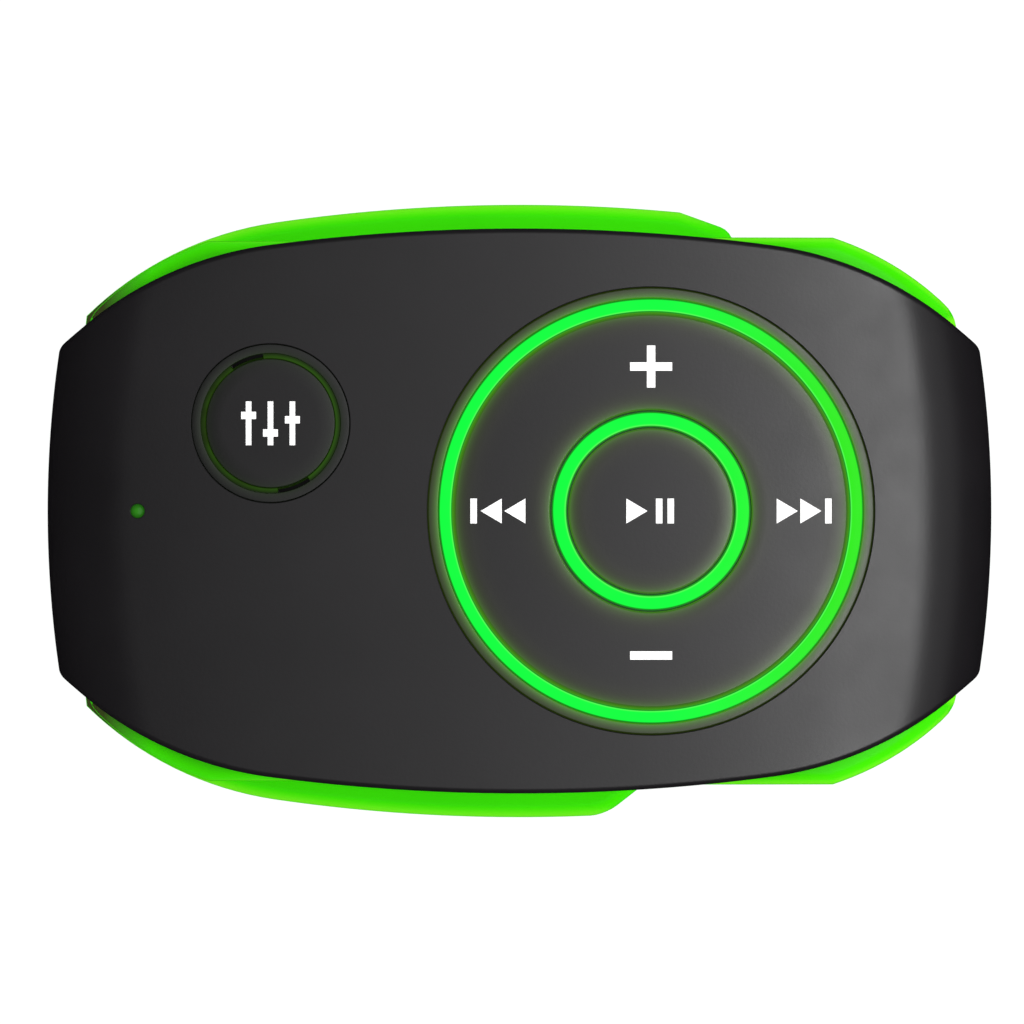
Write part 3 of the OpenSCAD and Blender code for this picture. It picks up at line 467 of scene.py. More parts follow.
shell_half_w, shell_half_l, shell_wall, floor_z = 15.62 * mm, 25 * mm, 1.4 * mm, 6.1 * mm
green_colour = rgb(0.047, 0.74, 0.0)
# Paler green, painted along the rounded rims as a highlight
painted_rim_highlight_colour = rgb(0.16, 0.79, 0.01)


def green(name, tip, by=1.0):
    """Glossy green plastic. Its rounded rims are painted paler, as a highlight. The faces that look up at its left
    tips, above the tip heights, are painted dark olive, as shade from the cover."""
    made = Finish(name, specular=0.04)
    rim_highlight = made.place.node("ShaderNodeAttribute", {}, "Fac", attribute_name="rim")
    upward = made.place.node("ShaderNodeAttribute", {}, "Fac", attribute_name="upward")
    drift = made.place.noise(70, 2).over(0.3, 0.7)
    body = drift.mix(shade(green_colour, 0.97 * by), shade(green_colour, 1.04 * by))
    at_left = made.across("X").over(6 * mm - half_l, 3.2 * mm - half_l)
    aside = abs(made.across("Y")).over(9 * mm, 10 * mm)
    # Painted shade: faces that look up at the left tips, above the tip heights, turn dark olive
    painted_shade = at_left * made.across("Z").over(*tip) * aside * upward
    made.feed("Base Color", painted_shade.mix(rim_highlight.mix(body, painted_rim_highlight_colour), rgb(0.04, 0.06, 0.012)))
    made.feed("Roughness", 0.26 + 0.08 * made.place.noise(400, 4).over(0.3, 0.7))
    made.grain(made.place.noise(1500, 2), 0.002 * mm)
    return made.material


def mark_painted_light(piece, share):
    """Stores how far each corner of a face lies in the rim's painted highlight, and whether it looks up, for the
    painted shade at the tips. Upright walls have neither."""
    mesh = piece.data
    rim, upward = [0.0] * len(mesh.loops), [0.0] * len(mesh.loops)
    for face in mesh.polygons:
        if abs(face.normal.z) > 0.25:
            for corner in face.loop_indices:
                rim[corner] = min(1.0, max(0.0, share(mesh.vertices[mesh.loops[corner].vertex_index].co)))
                upward[corner] = float(face.normal.z > 0)
    for name, values in (("rim", rim), ("upward", upward)):
        mesh.attributes.new(name, "FLOAT", "CORNER").data.foreach_set("value", values)


shell = bmesh.new()
shell_side_x, shell_corner_x = half_l - 9.1 * mm, shell_half_l - 0.7 * mm
shoulder_slope, tip_slope = math.radians(18), math.radians(43)
shell_shoulder_r = (shell_corner_x - shell_side_x) / (math.sin(tip_slope) - math.sin(shoulder_slope))
shell_tip_r = 0.7 * mm / (1 - math.sin(tip_slope))
to_shoulder = Vector((math.sin(shoulder_slope), math.cos(shoulder_slope), 0))
to_tip = Vector((math.sin(tip_slope), math.cos(tip_slope), 0))
shell_shoulder_c = Vector((shell_side_x, shell_half_w, back_z)) - shell_shoulder_r * to_shoulder
shell_tip_c = shell_shoulder_c + (shell_shoulder_r - shell_tip_r) * to_tip
walk(shell, Vector((0, shell_half_w, back_z)), [
    *[Vector((shell_side_x * i / 18, shell_half_w, back_z)) for i in range(1, 19)],
    (shell_shoulder_c, -25, 12), (shell_tip_c, -47, 5), Vector((shell_half_l, 0, back_z))])
reflect(shell, "X")
# The left end is a little shorter and narrower, so that it stays in front of the clip
for v in shell.verts:
    v.co.y -= 0.2 * mm * min(1.0, max(0.0, (-6 * mm - v.co.x) / (4.5 * mm))) * (v.co.y > 1 * mm)
    v.co.x += 0.02 * max(0.0, -12 * mm - v.co.x)
reflect(shell, "Y")
bmesh.ops.edgeloop_fill(shell, edges=shell.edges[:])
lifted = bmesh.ops.extrude_face_region(shell, geom=shell.faces[:])
bmesh.ops.translate(shell, verts=verts_in(lifted["geom"]), vec=(0, 0, 9 * mm))
# The pocket goes down to the floor, and the wall's upper edge follows the inside of the cover
top = [g for g in lifted["geom"] if isinstance(g, bmesh.types.BMFace)]
closed(shell)
bmesh.ops.inset_region(shell, faces=top, thickness=shell_wall, use_even_offset=True)
pocket = bmesh.ops.extrude_face_region(shell, geom=top)
for v in verts_in(pocket["geom"]):
    v.co.z = floor_z
bmesh.ops.delete(shell, geom=[f for f in top if f.is_valid], context="FACES_ONLY")
for v in shell.verts:
    if v.co.z > 10 * mm:
        v.co.z = crown_z(v.co.x, rim_depth + 0.1 * mm, cover_wall + 0.1 * mm)
closed(shell)


def shell_width(x):
    """Half the tub's width at a distance along it."""
    x = abs(x)
    if x < shell_side_x:
        return shell_half_w
    if x < shell_corner_x:
        return shell_shoulder_c.y + math.sqrt(max(0.0, shell_shoulder_r**2 - (x - shell_shoulder_c.x) ** 2))
    return shell_tip_c.y + math.sqrt(max(0.0, shell_tip_r**2 - (x - shell_tip_c.x) ** 2))


def on_wall(at):
    """True near the outside wall of the tub."""
    near = 0.8 * mm
    return abs(at.y) > shell_width(at.x) - near or abs(at.x) > shell_half_l - near


soften(shell, 0.75 * mm, lambda at: on_wall(at) and at.z > back_z + 1 * mm, 5, 50)
soften(shell, 0.8 * mm, lambda at: on_wall(at) and at.z < back_z + 0.1 * mm, 5, 50)
# Two lugs for the clip's pin, and pads round the case screws
pin_x, pin_z, lug_r, lug_y, lug_w = 3 * mm, 3.45 * mm, 1.35 * mm, 5.5 * mm, 2 * mm
lug_root = back_z + 0.6 * mm
lugs = bmesh.new()
for s in (-1, 1):
    rod(lugs, (pin_x, s * lug_y, pin_z), lug_r, lug_w)
    slab(lugs, (pin_x, s * lug_y, (pin_z + lug_root) / 2), (2 * lug_r, lug_w, lug_root - pin_z))
for x, y in case_screws:
    rod(lugs, (x, y, 6.2 * mm), 2.1 * mm, 1.6 * mm, "Z")
shell = combine(shell, lugs, "UNION")
# Bores for the pin and screws, the headphone hole, the USB opening and the slider's recess
cuts = bmesh.new()
pin_bore_r, jack_r, jack_mouth_r = 0.64 * mm, 2.6 * mm, 3.3 * mm
rod(cuts, (pin_x, 0, pin_z), pin_bore_r, 20 * mm)
for x, y in case_screws:
    rod(cuts, (x, y, 6 * mm), 0.8 * mm, 4 * mm, "Z")
    rod(cuts, (x, y, 4.8 * mm), 1.4 * mm, 2.1 * mm, "Z")
jack_x, jack_z, usb_x, usb_z = 9.2 * mm, 8.8 * mm, -2.6 * mm, 10.0 * mm
rod(cuts, (jack_x, -shell_half_w, jack_z), jack_r, 4.8 * mm, sides=64)
rod(cuts, (jack_x, -shell_half_w - 0.4 * mm, jack_z), jack_r, 1.2 * mm, sides=64, tip=jack_mouth_r)
shell = combine(shell, cuts)
mouths = bmesh.new()
usb_half = [Vector((3.9, 0, 1.5)), Vector((3.9, 0, -0.16)), Vector((3.02, 0, -1.5))]
usb_face = mouths.faces.new([mouths.verts.new(Vector((usb_x, -17 * mm, usb_z)) + p * mm) for p in
                             usb_half + [Vector((-p.x, 0, p.z)) for p in reversed(usb_half)]])
bmesh.ops.bevel(mouths, geom=usb_face.verts[:], offset=0.35 * mm, segments=4, profile=0.5, material=-1,
                affect="VERTICES")
punched = bmesh.ops.extrude_face_region(mouths, geom=mouths.faces[:])
bmesh.ops.translate(mouths, verts=verts_in(punched["geom"]), vec=(0, 4 * mm, 0))
slider_x, slider_z = -6 * mm, 12.95 * mm
slab(mouths, (slider_x - 1 * mm, shell_half_w, slider_z), (6.9 * mm, 1.5 * mm, 2.2 * mm))
slab(mouths, (slider_x - 1 * mm, shell_half_w - 1 * mm, slider_z), (4.1 * mm, 4 * mm, 1.2 * mm))
closed(mouths)
shell = combine(shell, mouths)
# The tub takes a darker copy of the clip's green, at 0.9, as painted shade against the key light; its tip heights
# place the painted shade at its left tips
shell_piece = settle(shell, "shell_tub", green("green_shell", (8.7 * mm, 9.6 * mm), 0.9), "player", "shell",
                     "rear_shell")


def shell_rim_highlight(at):
    """Share of the painted rim highlight: 1 at the tub's outline and 0 further in than the rim, apart from the
    upright wall's middle.
    """
    if 5.6 * mm <= at.z <= 9 * mm:
        return 0
    return 1 + max(abs(at.y) - shell_width(at.x), abs(at.x) - shell_half_l) / (0.36 * mm)


mark_painted_light(shell_piece, shell_rim_highlight)


# ---------- Clip ----------
# A springy green plate behind the tub, hinged on a steel pin. Its left end grips with a jaw that has four
# teeth, its slanted right end is the press tab, with grooves for the thumb. Its rim is rounded all round.

clip_t, clip_half_w = 2 * mm, cad_high.y
clip_shoulder_x, clip_tip_x = half_l - 13 * mm, half_l - 2.15 * mm
clip_end = Vector((half_l - 1.1 * mm, 8 * mm))
clip_r = bow_radius(clip_shoulder_x, 1.01 * mm)
clip_c = clip_half_w - clip_r
clip_turn, clip_shoulder_r = math.asin(clip_shoulder_x / clip_r), 19.5 * mm
shoulder_c = Vector((0, clip_c)) + (clip_r - clip_shoulder_r) * Vector((math.sin(clip_turn), math.cos(clip_turn)))
clip_slope = math.asin((clip_tip_x - shoulder_c.x) / clip_shoulder_r)
tip_y = shoulder_c.y + clip_shoulder_r * math.cos(clip_slope)
tab_x, tab_short_x, tab_cut, tab_drop = pin_x + 9.4 * mm, pin_x + 5.1 * mm, 3.2 * mm, 1.15 * mm


def clip_side(x):
    """Half the clip's width at a distance along its bowed sides."""
    return clip_c + math.sqrt(clip_r**2 - x * x)


clip = bmesh.new()
shoulder_swing = -math.degrees(clip_slope - clip_turn)
tab = [Vector((tab_x - tab_cut, clip_side(tab_x - tab_cut), 0)),
       Vector((tab_x, clip_side(tab_x - tab_cut) - tab_drop, 0)),
       Vector((tab_short_x, tab_drop - half_w, 0)),
       Vector((tab_short_x - tab_cut, -clip_side(tab_short_x - tab_cut), 0))]
last = walk(clip, Vector((-clip_end.x, clip_end.y, 0)), [
    Vector((-clip_tip_x - 0.1 * mm, tip_y - 0.9 * mm, 0)), Vector((-clip_tip_x, tip_y, 0)),
    (Vector((-shoulder_c.x, shoulder_c.y, 0)), shoulder_swing, 16),
    (Vector((0, clip_c, 0)), -math.degrees(math.asin(tab[0].x / clip_r) + clip_turn), 26), *tab[1:],
    (Vector((0, -clip_c, 0)), -math.degrees(math.asin(tab[3].x / clip_r) + clip_turn), 22),
    (Vector((-shoulder_c.x, -shoulder_c.y, 0)), shoulder_swing, 16),
    Vector((-clip_tip_x - 0.1 * mm, 0.9 * mm - tip_y, 0)), Vector((-clip_end.x, -clip_end.y, 0))])
clip.verts.ensure_lookup_table()
clip.edges.new((last, clip.verts[0]))
bmesh.ops.edgeloop_fill(clip, edges=clip.edges[:])
corners = [v for v in clip.verts if min((v.co - t).length for t in tab) < 1e-8]
bmesh.ops.bevel(clip, geom=corners, offset=0.9 * mm, segments=5, profile=0.5, material=-1, affect="VERTICES")
plate = bmesh.ops.extrude_face_region(clip, geom=clip.faces[:])
bmesh.ops.translate(clip, verts=verts_in(plate["geom"]), vec=(0, 0, clip_t))
closed(clip)
soften(clip, 0.75 * mm, lambda at: at.z > clip_t - 0.1 * mm, 6, 50)
soften(clip, 0.6 * mm, lambda at: at.z < 0.1 * mm, 5, 50)
ears = bmesh.new()
ear_r, ear_y, ear_w, plate_in = 1.25 * mm, 7.5 * mm, 1.8 * mm, 1 * mm
for s in (-1, 1):
    rod(ears, (pin_x, s * ear_y, pin_z), ear_r, ear_w)
    slab(ears, (pin_x, s * ear_y, (pin_z + plate_in) / 2), (2 * ear_r, ear_w, pin_z - plate_in))
jaw_x, jaw_top, jaw_w = 4.2 * mm - half_l, 4.7 * mm, 17 * mm
slab(ears, (jaw_x, 0, (jaw_top + plate_in) / 2), (3 * mm, jaw_w, jaw_top - plate_in))
closed(ears)
clip = combine(clip, ears, "UNION")
grooves = bmesh.new()
rod(grooves, (pin_x, 0, pin_z), 0.62 * mm, 30 * mm)
for i in (-1, 0, 1):
    bmesh.ops.create_cube(grooves, size=1, matrix=Matrix.Translation((jaw_x + i * mm, 0, jaw_top))
                          @ Matrix.Rotation(math.pi / 4, 4, "Y") @ Matrix.Diagonal((0.7 * mm, 19 * mm, 0.7 * mm, 1)))
for i in range(4):
    rod(grooves, (5.2 * mm + 1.3 * i * mm, 0, 0), 0.35 * mm, (14 - i) * mm)
clip = combine(clip, grooves)
# The clip's painted shade at its left tips starts above these heights
clip_piece = settle(clip, "clip_plate", green("green_clip", (0.6 * mm, 1.2 * mm)), "clip", "shell", "clip_arm")


def clip_inset(at):
    """How far a point of the clip lies inside its outline, along its long sides."""
    x, y = at.x, abs(at.y)
    if x < -clip_shoulder_x:
        return clip_shoulder_r - math.hypot(x + shoulder_c.x, y - shoulder_c.y)
    return clip_r - math.hypot(x, y - clip_c)


# The clip's rounded rim carries the same painted highlight
mark_painted_light(clip_piece, lambda at: 1 - clip_inset(at) / (0.5 * mm))


# ---------- Control ----------
# A black bezel, a clear ring lit from below, the rocker that tilts four ways, a second lit ring and the play
# key. All of them are round and follow the crown of the cover, so a finger feels one smooth face.

outer_ring = (11.34 * mm, 12.12 * mm)
inner_ring = (4.80 * mm, 5.66 * mm)
# Colours of the painted glow that the lit rings throw onto the charcoal beside them
painted_glow_near, painted_glow_far = rgb(0.0, 0.22, 0.002), rgb(0.06, 0.075, 0.008)
control_painted_glows = [(control_x, 0, *outer_ring, painted_glow_near, painted_glow_far), (control_x, 0, *inner_ring, painted_glow_near, painted_glow_far)]
crown_from = 15 * mm
bezel_low = board_top + seat_gap


def turned(profile, x, y, steps, round_by):
    """A turned ring or cap whose top edges are rounded before it is lowered to the crown."""
    fine = []
    for (r1, z1), (r2, z2) in zip(profile, profile[1:] + profile[:1]):
        cuts = math.ceil(abs(r2 - r1) / mm) if z1 == z2 > crown_from else 1
        fine += [(r1 + (r2 - r1) * i / cuts, z1) for i in range(cuts)]
    bm = lathe(fine, (x, y, 0), steps)
    soften(bm, round_by, lambda at: at.z > crown_from, 3, 40)
    return crowned(bm, crown_from)


bezel_top, bezel_foot = top_z - 0.03 * mm, bezel_low + 0.5 * mm


def surround(inner, outer, foot, x, y, steps, round_by):
    """A bezel: a thin upright ring with a wider foot behind the cover."""
    return turned([(inner, bezel_low), (foot, bezel_low), (foot, bezel_foot), (outer, bezel_foot),
                   (outer, bezel_top), (inner, bezel_top)], x, y, steps, round_by)


bezel = surround(12.16 * mm, 12.70 * mm, 13.42 * mm, control_x, 0, 160, 0.045 * mm)
settle(bezel, "control_surround", charcoal("charcoal_bezel", control_painted_glows[:1]), "player", "bezel", "control_bezel")


def lit(name, x, y, inner, outer, bright):
    """Clear plastic lit from below: brightest in the middle, with a pale line inside that is a painted reflection,
    and a dark one outside.
    """
    made = Finish(name, specular=0.03 if bright else 0.12)
    clear = rgb(0.004, 0.03, 0.004) if bright else rgb(0.002, 0.004, 0.001)
    made.feed("Base Color", made.place.noise(500, 2).over(0.3, 0.7).mix(clear, shade(clear, 1.5)))
    made.feed("Roughness", 0.3 + 0.1 * made.place.noise(900, 2))
    share = made.from_centre(x, y).over(inner, outer)
    if bright:
        side = made.across("X").over(x + 1 * mm, x + 11 * mm)
        body = side.mix(rgb(0.0, 0.98, 0.048), rgb(0.026, 0.8, 0.008))
        # Painted reflection: a pale line near the inner edge
        body = share.over(0.2, 0.1).mix(body, rgb(0.1, 0.98, 0.1))
        body = share.over(0.1, 0.06).mix(body, rgb(0.008, 0.26, 0.012))
        body = share.over(0.88, 0.93).mix(body, rgb(0.006, 0.24, 0.01))
    else:
        dim = rgb(0.016, 0.062, 0.001)
        body = made.place.noise(420, 2).over(0.4, 0.65).mix(rgb(0.009, 0.022, 0.0), dim)
        body = made.across("X").over(x - 3 * mm, x + 2 * mm).mix(body, dim)
        body = share.over(0.3, 1.0).mix(body, rgb(0.004, 0.012, 0.0))
    made.glow(body)
    return made.material


# The outer ring stays clear of the rocker's flange when that tilts. The inner one stands on three legs
play_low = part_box("play_button")[0].z
for name, node, (inner, outer), low in (("outer_lit_ring", "outer_light_ring", outer_ring, 14.15 * mm),
                                        ("inner_lit_ring", "inner_light_ring", inner_ring, play_low + 1 * mm)):
    ring = turned([(inner, low), (outer, low), (outer, top_z), (inner, top_z)], control_x, 0, 160, 0.07 * mm)
    if node == "inner_light_ring":
        legs, leg_top = bmesh.new(), low + 0.4 * mm
        for degrees in (45, 165, 285):
            spot = Matrix.Rotation(math.radians(degrees), 3, "Z") @ Vector(((inner + outer) / 2, 0, 0))
            rod(legs, (control_x + spot.x, spot.y, (board_top + leg_top) / 2), 0.3 * mm, leg_top - board_top, "Z", 20)
        ring = combine(ring, legs, "UNION")
    settle(ring, name, lit("lit_" + name, control_x, 0, inner, outer, True), "player", "lit_ring", node)

# The rocker is hollow under its face, with a flange that holds it behind the outer ring and two posts
rocker_z, flange_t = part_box("rocker_ring")[0].z, 0.4 * mm
rocker_in, rocker_out, flange_r, hollow_z = 5.76 * mm, 11.21 * mm, 11.76 * mm, top_z - 1.4 * mm
rocker = turned([(rocker_in, rocker_z), (6.45 * mm, rocker_z), (6.45 * mm, hollow_z), (9.82 * mm, hollow_z),
                 (9.82 * mm, rocker_z), (flange_r, rocker_z), (flange_r, rocker_z + flange_t),
                 (rocker_out, rocker_z + flange_t), (rocker_out, top_z), (rocker_in, top_z)],
                control_x, 0, 160, 0.1 * mm)
posts = bmesh.new()
post_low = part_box("rocker_keymat")[1].z + 0.03 * mm
for s in (-1, 1):
    x = control_x + s * 8.14 * mm
    post_top = crown_z(x) - 1.2 * mm
    rod(posts, (x, 0, (post_low + post_top) / 2), 0.6 * mm, post_top - post_low, "Z", 24)
rocker = combine(rocker, posts, "UNION")
settle(rocker, "rocker_cap", charcoal("charcoal_rocker", control_painted_glows), "rocker", "keys", "rocker_ring")

# A key is a cap with a stem under its middle, which ends just above its dome
key_low, stem_r = board_top + 0.38 * mm, 1.1 * mm
cap_low, cap_in = board_top + 0.83 * mm, board_top + 2.43 * mm
play = turned([(0, key_low), (stem_r, key_low), (stem_r, cap_in), (4.0 * mm, cap_in), (4.0 * mm, cap_low),
               (4.71 * mm, cap_low), (4.71 * mm, top_z), (0, top_z)], control_x, 0, 128, 0.09 * mm)
settle(play, "play_cap", charcoal("charcoal_play", control_painted_glows[1:]), "play_key", "keys", "play_button")


# ---------- Equaliser key ----------
# The same build as the control on a smaller scale: a charcoal bezel with two gloss black bridges, a dim light
# ring in two arcs between them, and a key with a flange. The status light's lens is a small turned pin.

eq_ring = (3.72 * mm, 3.98 * mm)
eq_bezel = surround(4.0 * mm, 4.5 * mm, 5.19 * mm, eq_x, eq_y, 96, 0.03 * mm)
# The equaliser's charcoal carries a faint painted glow from its dim ring
eq_painted_glow = [(eq_x, eq_y, *eq_ring, rgb(0.003, 0.009, 0.0), rgb(0.001, 0.004, 0.0))]
settle(eq_bezel, "equaliser_surround", charcoal("charcoal_eq_bezel", eq_painted_glow), "player", "bezel", "eq_bezel")
bridge_sweep, arc_low = 27, 15 * mm
arcs, bridges = bmesh.new(), bmesh.new()
for start in (97, 277):
    for target, near, first, sweep, high in (
            (arcs, eq_ring[0], start + bridge_sweep + 1, 180 - bridge_sweep - 2, top_z - 0.06 * mm),
            (bridges, eq_ring[0] + 0.08 * mm, start, bridge_sweep, top_z - 0.05 * mm)):
        part = lathe([(near, arc_low), (eq_ring[1], arc_low), (eq_ring[1], high), (near, high)],
                     (eq_x, eq_y, 0), 60, sweep, first)
        gather(target, crowned(part, arc_low - 1 * mm))
settle(arcs, "equaliser_lit_arcs", lit("lit_dim", eq_x, eq_y, *eq_ring, False), "player", "dim_ring", "eq_light_ring")
gloss_black = Finish("gloss_black", specular=0.04)
drift = gloss_black.place.noise(600, 2).over(0.3, 0.7)
gloss_black.feed("Base Color", drift.mix(rgb(0.0015, 0.0015, 0.0015), rgb(0.003, 0.003, 0.003)))
gloss_black.feed("Roughness", 0.4 + 0.1 * gloss_black.place.noise(900, 2))
settle(bridges, "equaliser_bridges", gloss_black.material, "player", "bezel")
eq_cap = turned([(0, key_low), (stem_r, key_low), (stem_r, cap_in), (2.94 * mm, cap_in), (2.94 * mm, cap_low),
                 (3.87 * mm, cap_low), (3.87 * mm, cap_low + flange_t), (3.67 * mm, cap_low + flange_t),
                 (3.67 * mm, top_z), (0, top_z)], eq_x, eq_y, 96, 0.05 * mm)
settle(eq_cap, "equaliser_cap", charcoal("charcoal_eq_key", eq_painted_glow), "eq_key", "keys", "eq_button")

lens = Finish("status_lens", specular=0.4)
lens.feed("Base Color", lens.place.noise(2000, 1).mix(rgb(0.004, 0.03, 0.002), rgb(0.006, 0.05, 0.003)))
lens.feed("Roughness", 0.2 + 0.1 * lens.place.noise(1500, 1))
to_edge = lens.from_centre(status_x, 0).over(0.1 * mm, status_r)
lens.glow(to_edge.mix(rgb(0.02, 0.16, 0.006), rgb(0.008, 0.07, 0.003)))
pipe_low, collar_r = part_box("status_light_pipe")[0].z, 0.71 * mm
collar_top = pipe_low + 0.15 * mm
pipe = crowned(lathe([(0, pipe_low), (collar_r, pipe_low), (collar_r, collar_top), (status_r, collar_top),
                      (status_r, top_z - 0.12 * mm), (0.26 * mm, top_z - 0.03 * mm), (0.12 * mm, top_z), (0, top_z)],
                     (status_x, 0, 0), 32), 15 * mm)
settle(pipe, "status_lens", lens.material, "player", "dim_ring", "status_light_pipe")


# ---------- Marks ----------
# White plastic marks, moulded into the faces of the keys and almost flush with them. The equaliser key carries
# a plain symbol of three sliders.

mark_h, arrow_w, bar_w = 1.42 * mm, 1.2 * mm, 0.37 * mm
ink = Finish("white_inlay", specular=0.3)
ink.feed("Base Color", ink.place.noise(900, 3).over(0.3, 0.7).mix(rgb(0.86, 0.855, 0.85), rgb(0.93, 0.925, 0.92)))
ink.feed("Roughness", 0.45 + 0.1 * ink.place.noise(1200, 2))
# Painted glow: a faint emission brightens the white marks
ink.glow(ink.place.noise(900, 3).mix(rgb(0.06, 0.06, 0.06), rgb(0.08, 0.08, 0.08)))


def bar(x, y, w, h):
    """An oblong, as an outline."""
    return [(x - w / 2, y - h / 2), (x + w / 2, y - h / 2), (x + w / 2, y + h / 2), (x - w / 2, y + h / 2)]


def arrow(x, way):
    """A triangle that points left or right, as an outline."""
    return [(x - way * arrow_w / 2, -mark_h / 2), (x + way * arrow_w / 2, 0), (x - way * arrow_w / 2, mark_h / 2)]


def crossed(x, y, tall, wide, raised=0.0):
    """A standing bar with a bar across it, as one outline."""
    right = [(tall[0], -tall[1]), (tall[0], 2 * raised - wide[1]), (wide[0], 2 * raised - wide[1]),
             (wide[0], 2 * raised + wide[1]), (tall[0], 2 * raised + wide[1]), (tall[0], tall[1])]
    return [(x + s * a / 2, y + b / 2) for s, side in ((1, right), (-1, right[::-1])) for a, b in side]


def inlay(name, outlines, at, body, node):
    """Marks set into a key, standing very slightly proud of its crown."""
    bm = bmesh.new()
    for outline in outlines:
        bm.faces.new([bm.verts.new((at[0] + x, at[1] + y, 0)) for x, y in outline])
    raised = bmesh.ops.extrude_face_region(bm, geom=bm.faces[:])
    tops, proud, depth = set(verts_in(raised["geom"])), 0.012 * mm, 0.3 * mm
    for v in bm.verts:
        v.co.z = crown_z(v.co.x) + (proud if v in tops else -depth)
    settle(closed(bm), name, ink.material, body, "marks", node)


skip_at, sign_at, sign_w, sign_t = 8.735 * mm, 8.235 * mm, 2.4 * mm, 0.48 * mm
skips = [shape for way in (-1, 1) for shape in (
    arrow(way * (skip_at - 0.97 * mm), way), arrow(way * (skip_at + 0.38 * mm), way),
    bar(way * (skip_at + 1.38 * mm), 0, bar_w, mark_h))]
signs = [bar(0, -sign_at, sign_w, sign_t), crossed(0, sign_at, (sign_t, sign_w), (sign_w, sign_t))]
inlay("rocker_marks", skips + signs, (control_x, 0), "rocker", "rocker_legends")
inlay("play_mark", [arrow(-0.81 * mm, 1), bar(0.46 * mm, 0, bar_w, mark_h), bar(1.12 * mm, 0, bar_w, mark_h)],
      (control_x, 0), "play_key", "play_legend")
inlay("equaliser_mark", [crossed(i * 1.25 * mm, 0, (0.32 * mm, 2.5 * mm), (0.85 * mm, 0.42 * mm), raised * mm)
                         for i, raised in ((-1, 0.45), (0, -0.55), (1, 0.2))], (eq_x, eq_y), "eq_key", "eq_legend")


# ---------- Power slider ----------
# A small black knob in the recess on the upper side. It is moulded with three grip grooves, and its stem
# reaches through the wall to the switch.

def speckled(name, colour, rough, scale, depth=0.002, metallic=0.0, coat=0.0):
    """A plain bought-in finish: its colour and gloss vary a little, over a fine texture."""
    made = Finish(name, metallic=metallic, coat=coat)
    grain = made.place.noise(scale, 3)
    made.feed("Base Color", grain.over(0.3, 0.7).mix(shade(colour, 0.88), shade(colour, 1.12)))
    made.feed("Roughness", rough - 0.05 + 0.1 * made.place.noise(scale / 3, 3))
    made.grain(grain, depth * mm)
    return made.material


knob_low, knob_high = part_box("power_slider")
knob_in, knob_out = knob_high.y - 0.95 * mm, knob_high.y - 0.17 * mm
knob_mid, knob_size = (knob_low + knob_high) / 2, knob_high - knob_low
knob = bmesh.new()
slab(knob, (knob_mid.x, (knob_in + knob_out) / 2, knob_mid.z), (knob_size.x, knob_out - knob_in, knob_size.z))
soften(knob, 0.18 * mm, lambda at: at.y > knob_in + 0.1 * mm)
stem, stem_out = bmesh.new(), knob_in + 0.2 * mm
slab(stem, (knob_mid.x, (knob_low.y + stem_out) / 2, knob_mid.z), (1.8 * mm, stem_out - knob_low.y, 0.9 * mm))
knob = combine(knob, stem, "UNION")
grips = bmesh.new()
for i in (-1, 0, 1):
    rod(grips, (knob_mid.x + 0.9 * i * mm, knob_out, knob_mid.z), 0.2 * mm, 4 * mm, "Z", 24)
knob = combine(knob, grips)
slider_plastic = speckled("slider_plastic", rgb(0.016, 0.016, 0.017), 0.42, 2200, depth=0.004)
settle(knob, "slider_knob", slider_plastic, "power_knob", "socket_black", "power_slider")


# ---------- Metal, electronics and battery ----------
# Bought-in parts inside the case and in its openings: screws, pin, spring, sockets, board, chips and cell. They
# keep the shapes of the frame, and each is given its finish: colour, roughness, the texture's scale, and more.

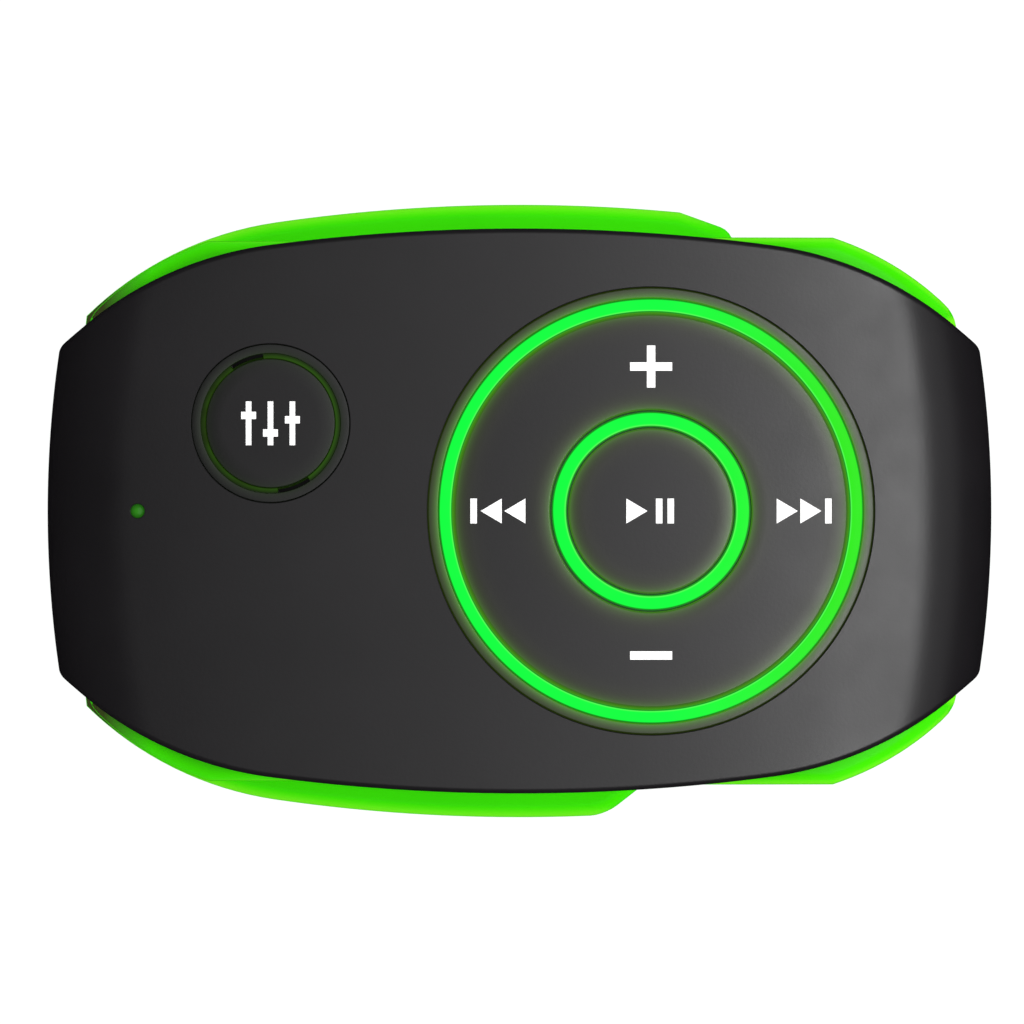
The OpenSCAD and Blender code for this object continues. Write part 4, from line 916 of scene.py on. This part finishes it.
carried = {
    "case_screws": ("zinc_screw", rgb(0.42, 0.42, 0.43), 0.3, 1500, dict(metallic=1.0)),
    "board_screws": ("zinc_board_screw", rgb(0.42, 0.42, 0.43), 0.3, 1500, dict(metallic=1.0)),
    "clip_pin": ("ground_pin", rgb(0.62, 0.62, 0.64), 0.22, 2500, dict(metallic=1.0)),
    "clip_spring": ("music_wire", rgb(0.55, 0.55, 0.57), 0.28, 2500, dict(metallic=1.0)),
    "rocker_keymat": ("milky_silicone", rgb(0.55, 0.55, 0.57), 0.55, 1200, {}),
    "main_board": ("solder_mask", rgb(0.012, 0.12, 0.045), 0.3, 900, dict(coat=0.5)),
    "rocker_domes": ("dome_steel", rgb(0.62, 0.62, 0.63), 0.2, 2000, dict(metallic=1.0)),
    "play_dome": ("dome_steel_play", rgb(0.62, 0.62, 0.63), 0.2, 2000, dict(metallic=1.0)),
    "eq_dome": ("dome_steel_eq", rgb(0.62, 0.62, 0.63), 0.2, 2000, dict(metallic=1.0)),
    "ring_leds": ("led_epoxy", rgb(0.7, 0.78, 0.5), 0.15, 1500, {}),
    "status_led": ("led_epoxy_status", rgb(0.7, 0.78, 0.5), 0.15, 1500, {}),
    "processor_chip": ("black_epoxy", rgb(0.02, 0.02, 0.022), 0.5, 3000, dict(depth=0.004)),
    "memory_chip": ("black_epoxy_memory", rgb(0.02, 0.02, 0.022), 0.5, 3000, dict(depth=0.004)),
    "crystal": ("crystal_can", rgb(0.65, 0.65, 0.66), 0.25, 2000, dict(metallic=1.0)),
    "small_parts": ("tinned_ceramic", rgb(0.42, 0.3, 0.19), 0.4, 2500, {}),
    "headphone_socket": ("socket_plastic", rgb(0.014, 0.014, 0.015), 0.38, 1800, {}),
    "headphone_terminals": ("gold_terminals", rgb(0.8, 0.58, 0.24), 0.22, 2500, dict(metallic=1.0)),
    "usb_shell": ("drawn_steel", rgb(0.6, 0.6, 0.62), 0.24, 1800, dict(metallic=1.0)),
    "usb_tongue": ("tongue_plastic", rgb(0.012, 0.012, 0.013), 0.4, 1800, {}),
    "usb_contacts": ("gold_contacts", rgb(0.8, 0.58, 0.24), 0.2, 2500, dict(metallic=1.0)),
    "power_switch": ("switch_can", rgb(0.55, 0.55, 0.57), 0.28, 1800, dict(metallic=1.0)),
    "battery": ("pouch_foil", rgb(0.62, 0.63, 0.65), 0.32, 700, dict(metallic=0.9, depth=0.01)),
    "battery_tape": ("paper_tape", rgb(0.8, 0.77, 0.7), 0.7, 1500, dict(depth=0.004)),
    "battery_lead_red": ("red_insulation", rgb(0.5, 0.012, 0.012), 0.4, 1500, {}),
    "battery_lead_black": ("black_insulation", rgb(0.01, 0.01, 0.011), 0.4, 1500, {}),
}
for node, (name, colour, rough, scale, more) in carried.items():
    mesh = nodes[node].data
    mesh.materials.clear()
    mesh.materials.append(speckled(name, colour, rough, scale, **more))


# ---------- Floor, light and camera ----------
# The player lies on its clip on a pale sheet, under four wide soft lights. The camera looks straight down at
# the crowned front, from far away.

floor_mesh = bpy.data.meshes.new("floor")
sheet = bmesh.new()
bmesh.ops.create_grid(sheet, x_segments=1, y_segments=1, size=3)
sheet.to_mesh(floor_mesh)
sheet.free()
floor = bpy.data.objects.new("floor", floor_mesh)
bpy.context.scene.collection.objects.link(floor)
paper = Finish("paper_floor", specular=0.0)
paper.shader.inputs["Roughness"].default_value = 0.9
paper.shader.inputs["Base Color"].default_value = rgb(0.08, 0.08, 0.08)
paper.shader.inputs["Emission Color"].default_value = rgb(1, 1, 1)
paper.shader.inputs["Emission Strength"].default_value = 0.97
floor_mesh.materials.append(paper.material)
floor.visible_glossy = False

world = bpy.data.worlds.new("studio")
bpy.context.scene.world = world
world.use_nodes = True
world.node_tree.nodes["Background"].inputs["Color"].default_value = rgb(1, 1, 1)
world.node_tree.nodes["Background"].inputs["Strength"].default_value = 0.8
world.cycles_visibility.glossy = False

aim = Vector((0, 0, 12 * mm))


def softbox(name, lean, span, length, radiance):
    """A soft area light that leans from straight above towards the right, and spans some degrees across."""
    distance, up = 0.7, Vector((0, 1, 0))
    back = Vector((math.sin(math.radians(lean)), 0, math.cos(math.radians(lean))))
    lamp = bpy.data.lights.new(name, "AREA")
    lamp.shape = "RECTANGLE"
    lamp.size, lamp.size_y = 2 * distance * math.tan(math.radians(span / 2)), length
    lamp.energy = radiance * math.pi * lamp.size * lamp.size_y
    box = bpy.data.objects.new(name, lamp)
    bpy.context.scene.collection.objects.link(box)
    turn = Matrix((up.cross(back), up, back)).transposed().to_4x4()
    box.matrix_world = Matrix.Translation(aim + distance * back) @ turn
    box.visible_camera = False


softbox("key_box", 34, 14, 0.6, 8.6)
softbox("top_box_right", 10, 24, 0.7, 1.1)
softbox("top_box_left", -16, 24, 0.7, 0.62)
softbox("side_box", 72, 26, 0.6, 0.5)

view_w, eye_h = 58.51 * mm, 2.2
camera = bpy.data.cameras.new("camera")
camera.sensor_width = 36
camera.lens = 36 * eye_h / view_w
camera.clip_start, camera.clip_end = 0.05, 20
eye = bpy.data.objects.new("camera", camera)
eye.location = (-0.429 * mm, -0.057 * mm, 12 * mm + eye_h)
bpy.context.scene.collection.objects.link(eye)
bpy.context.scene.camera = eye
bpy.context.scene.view_settings.view_transform = "Standard"
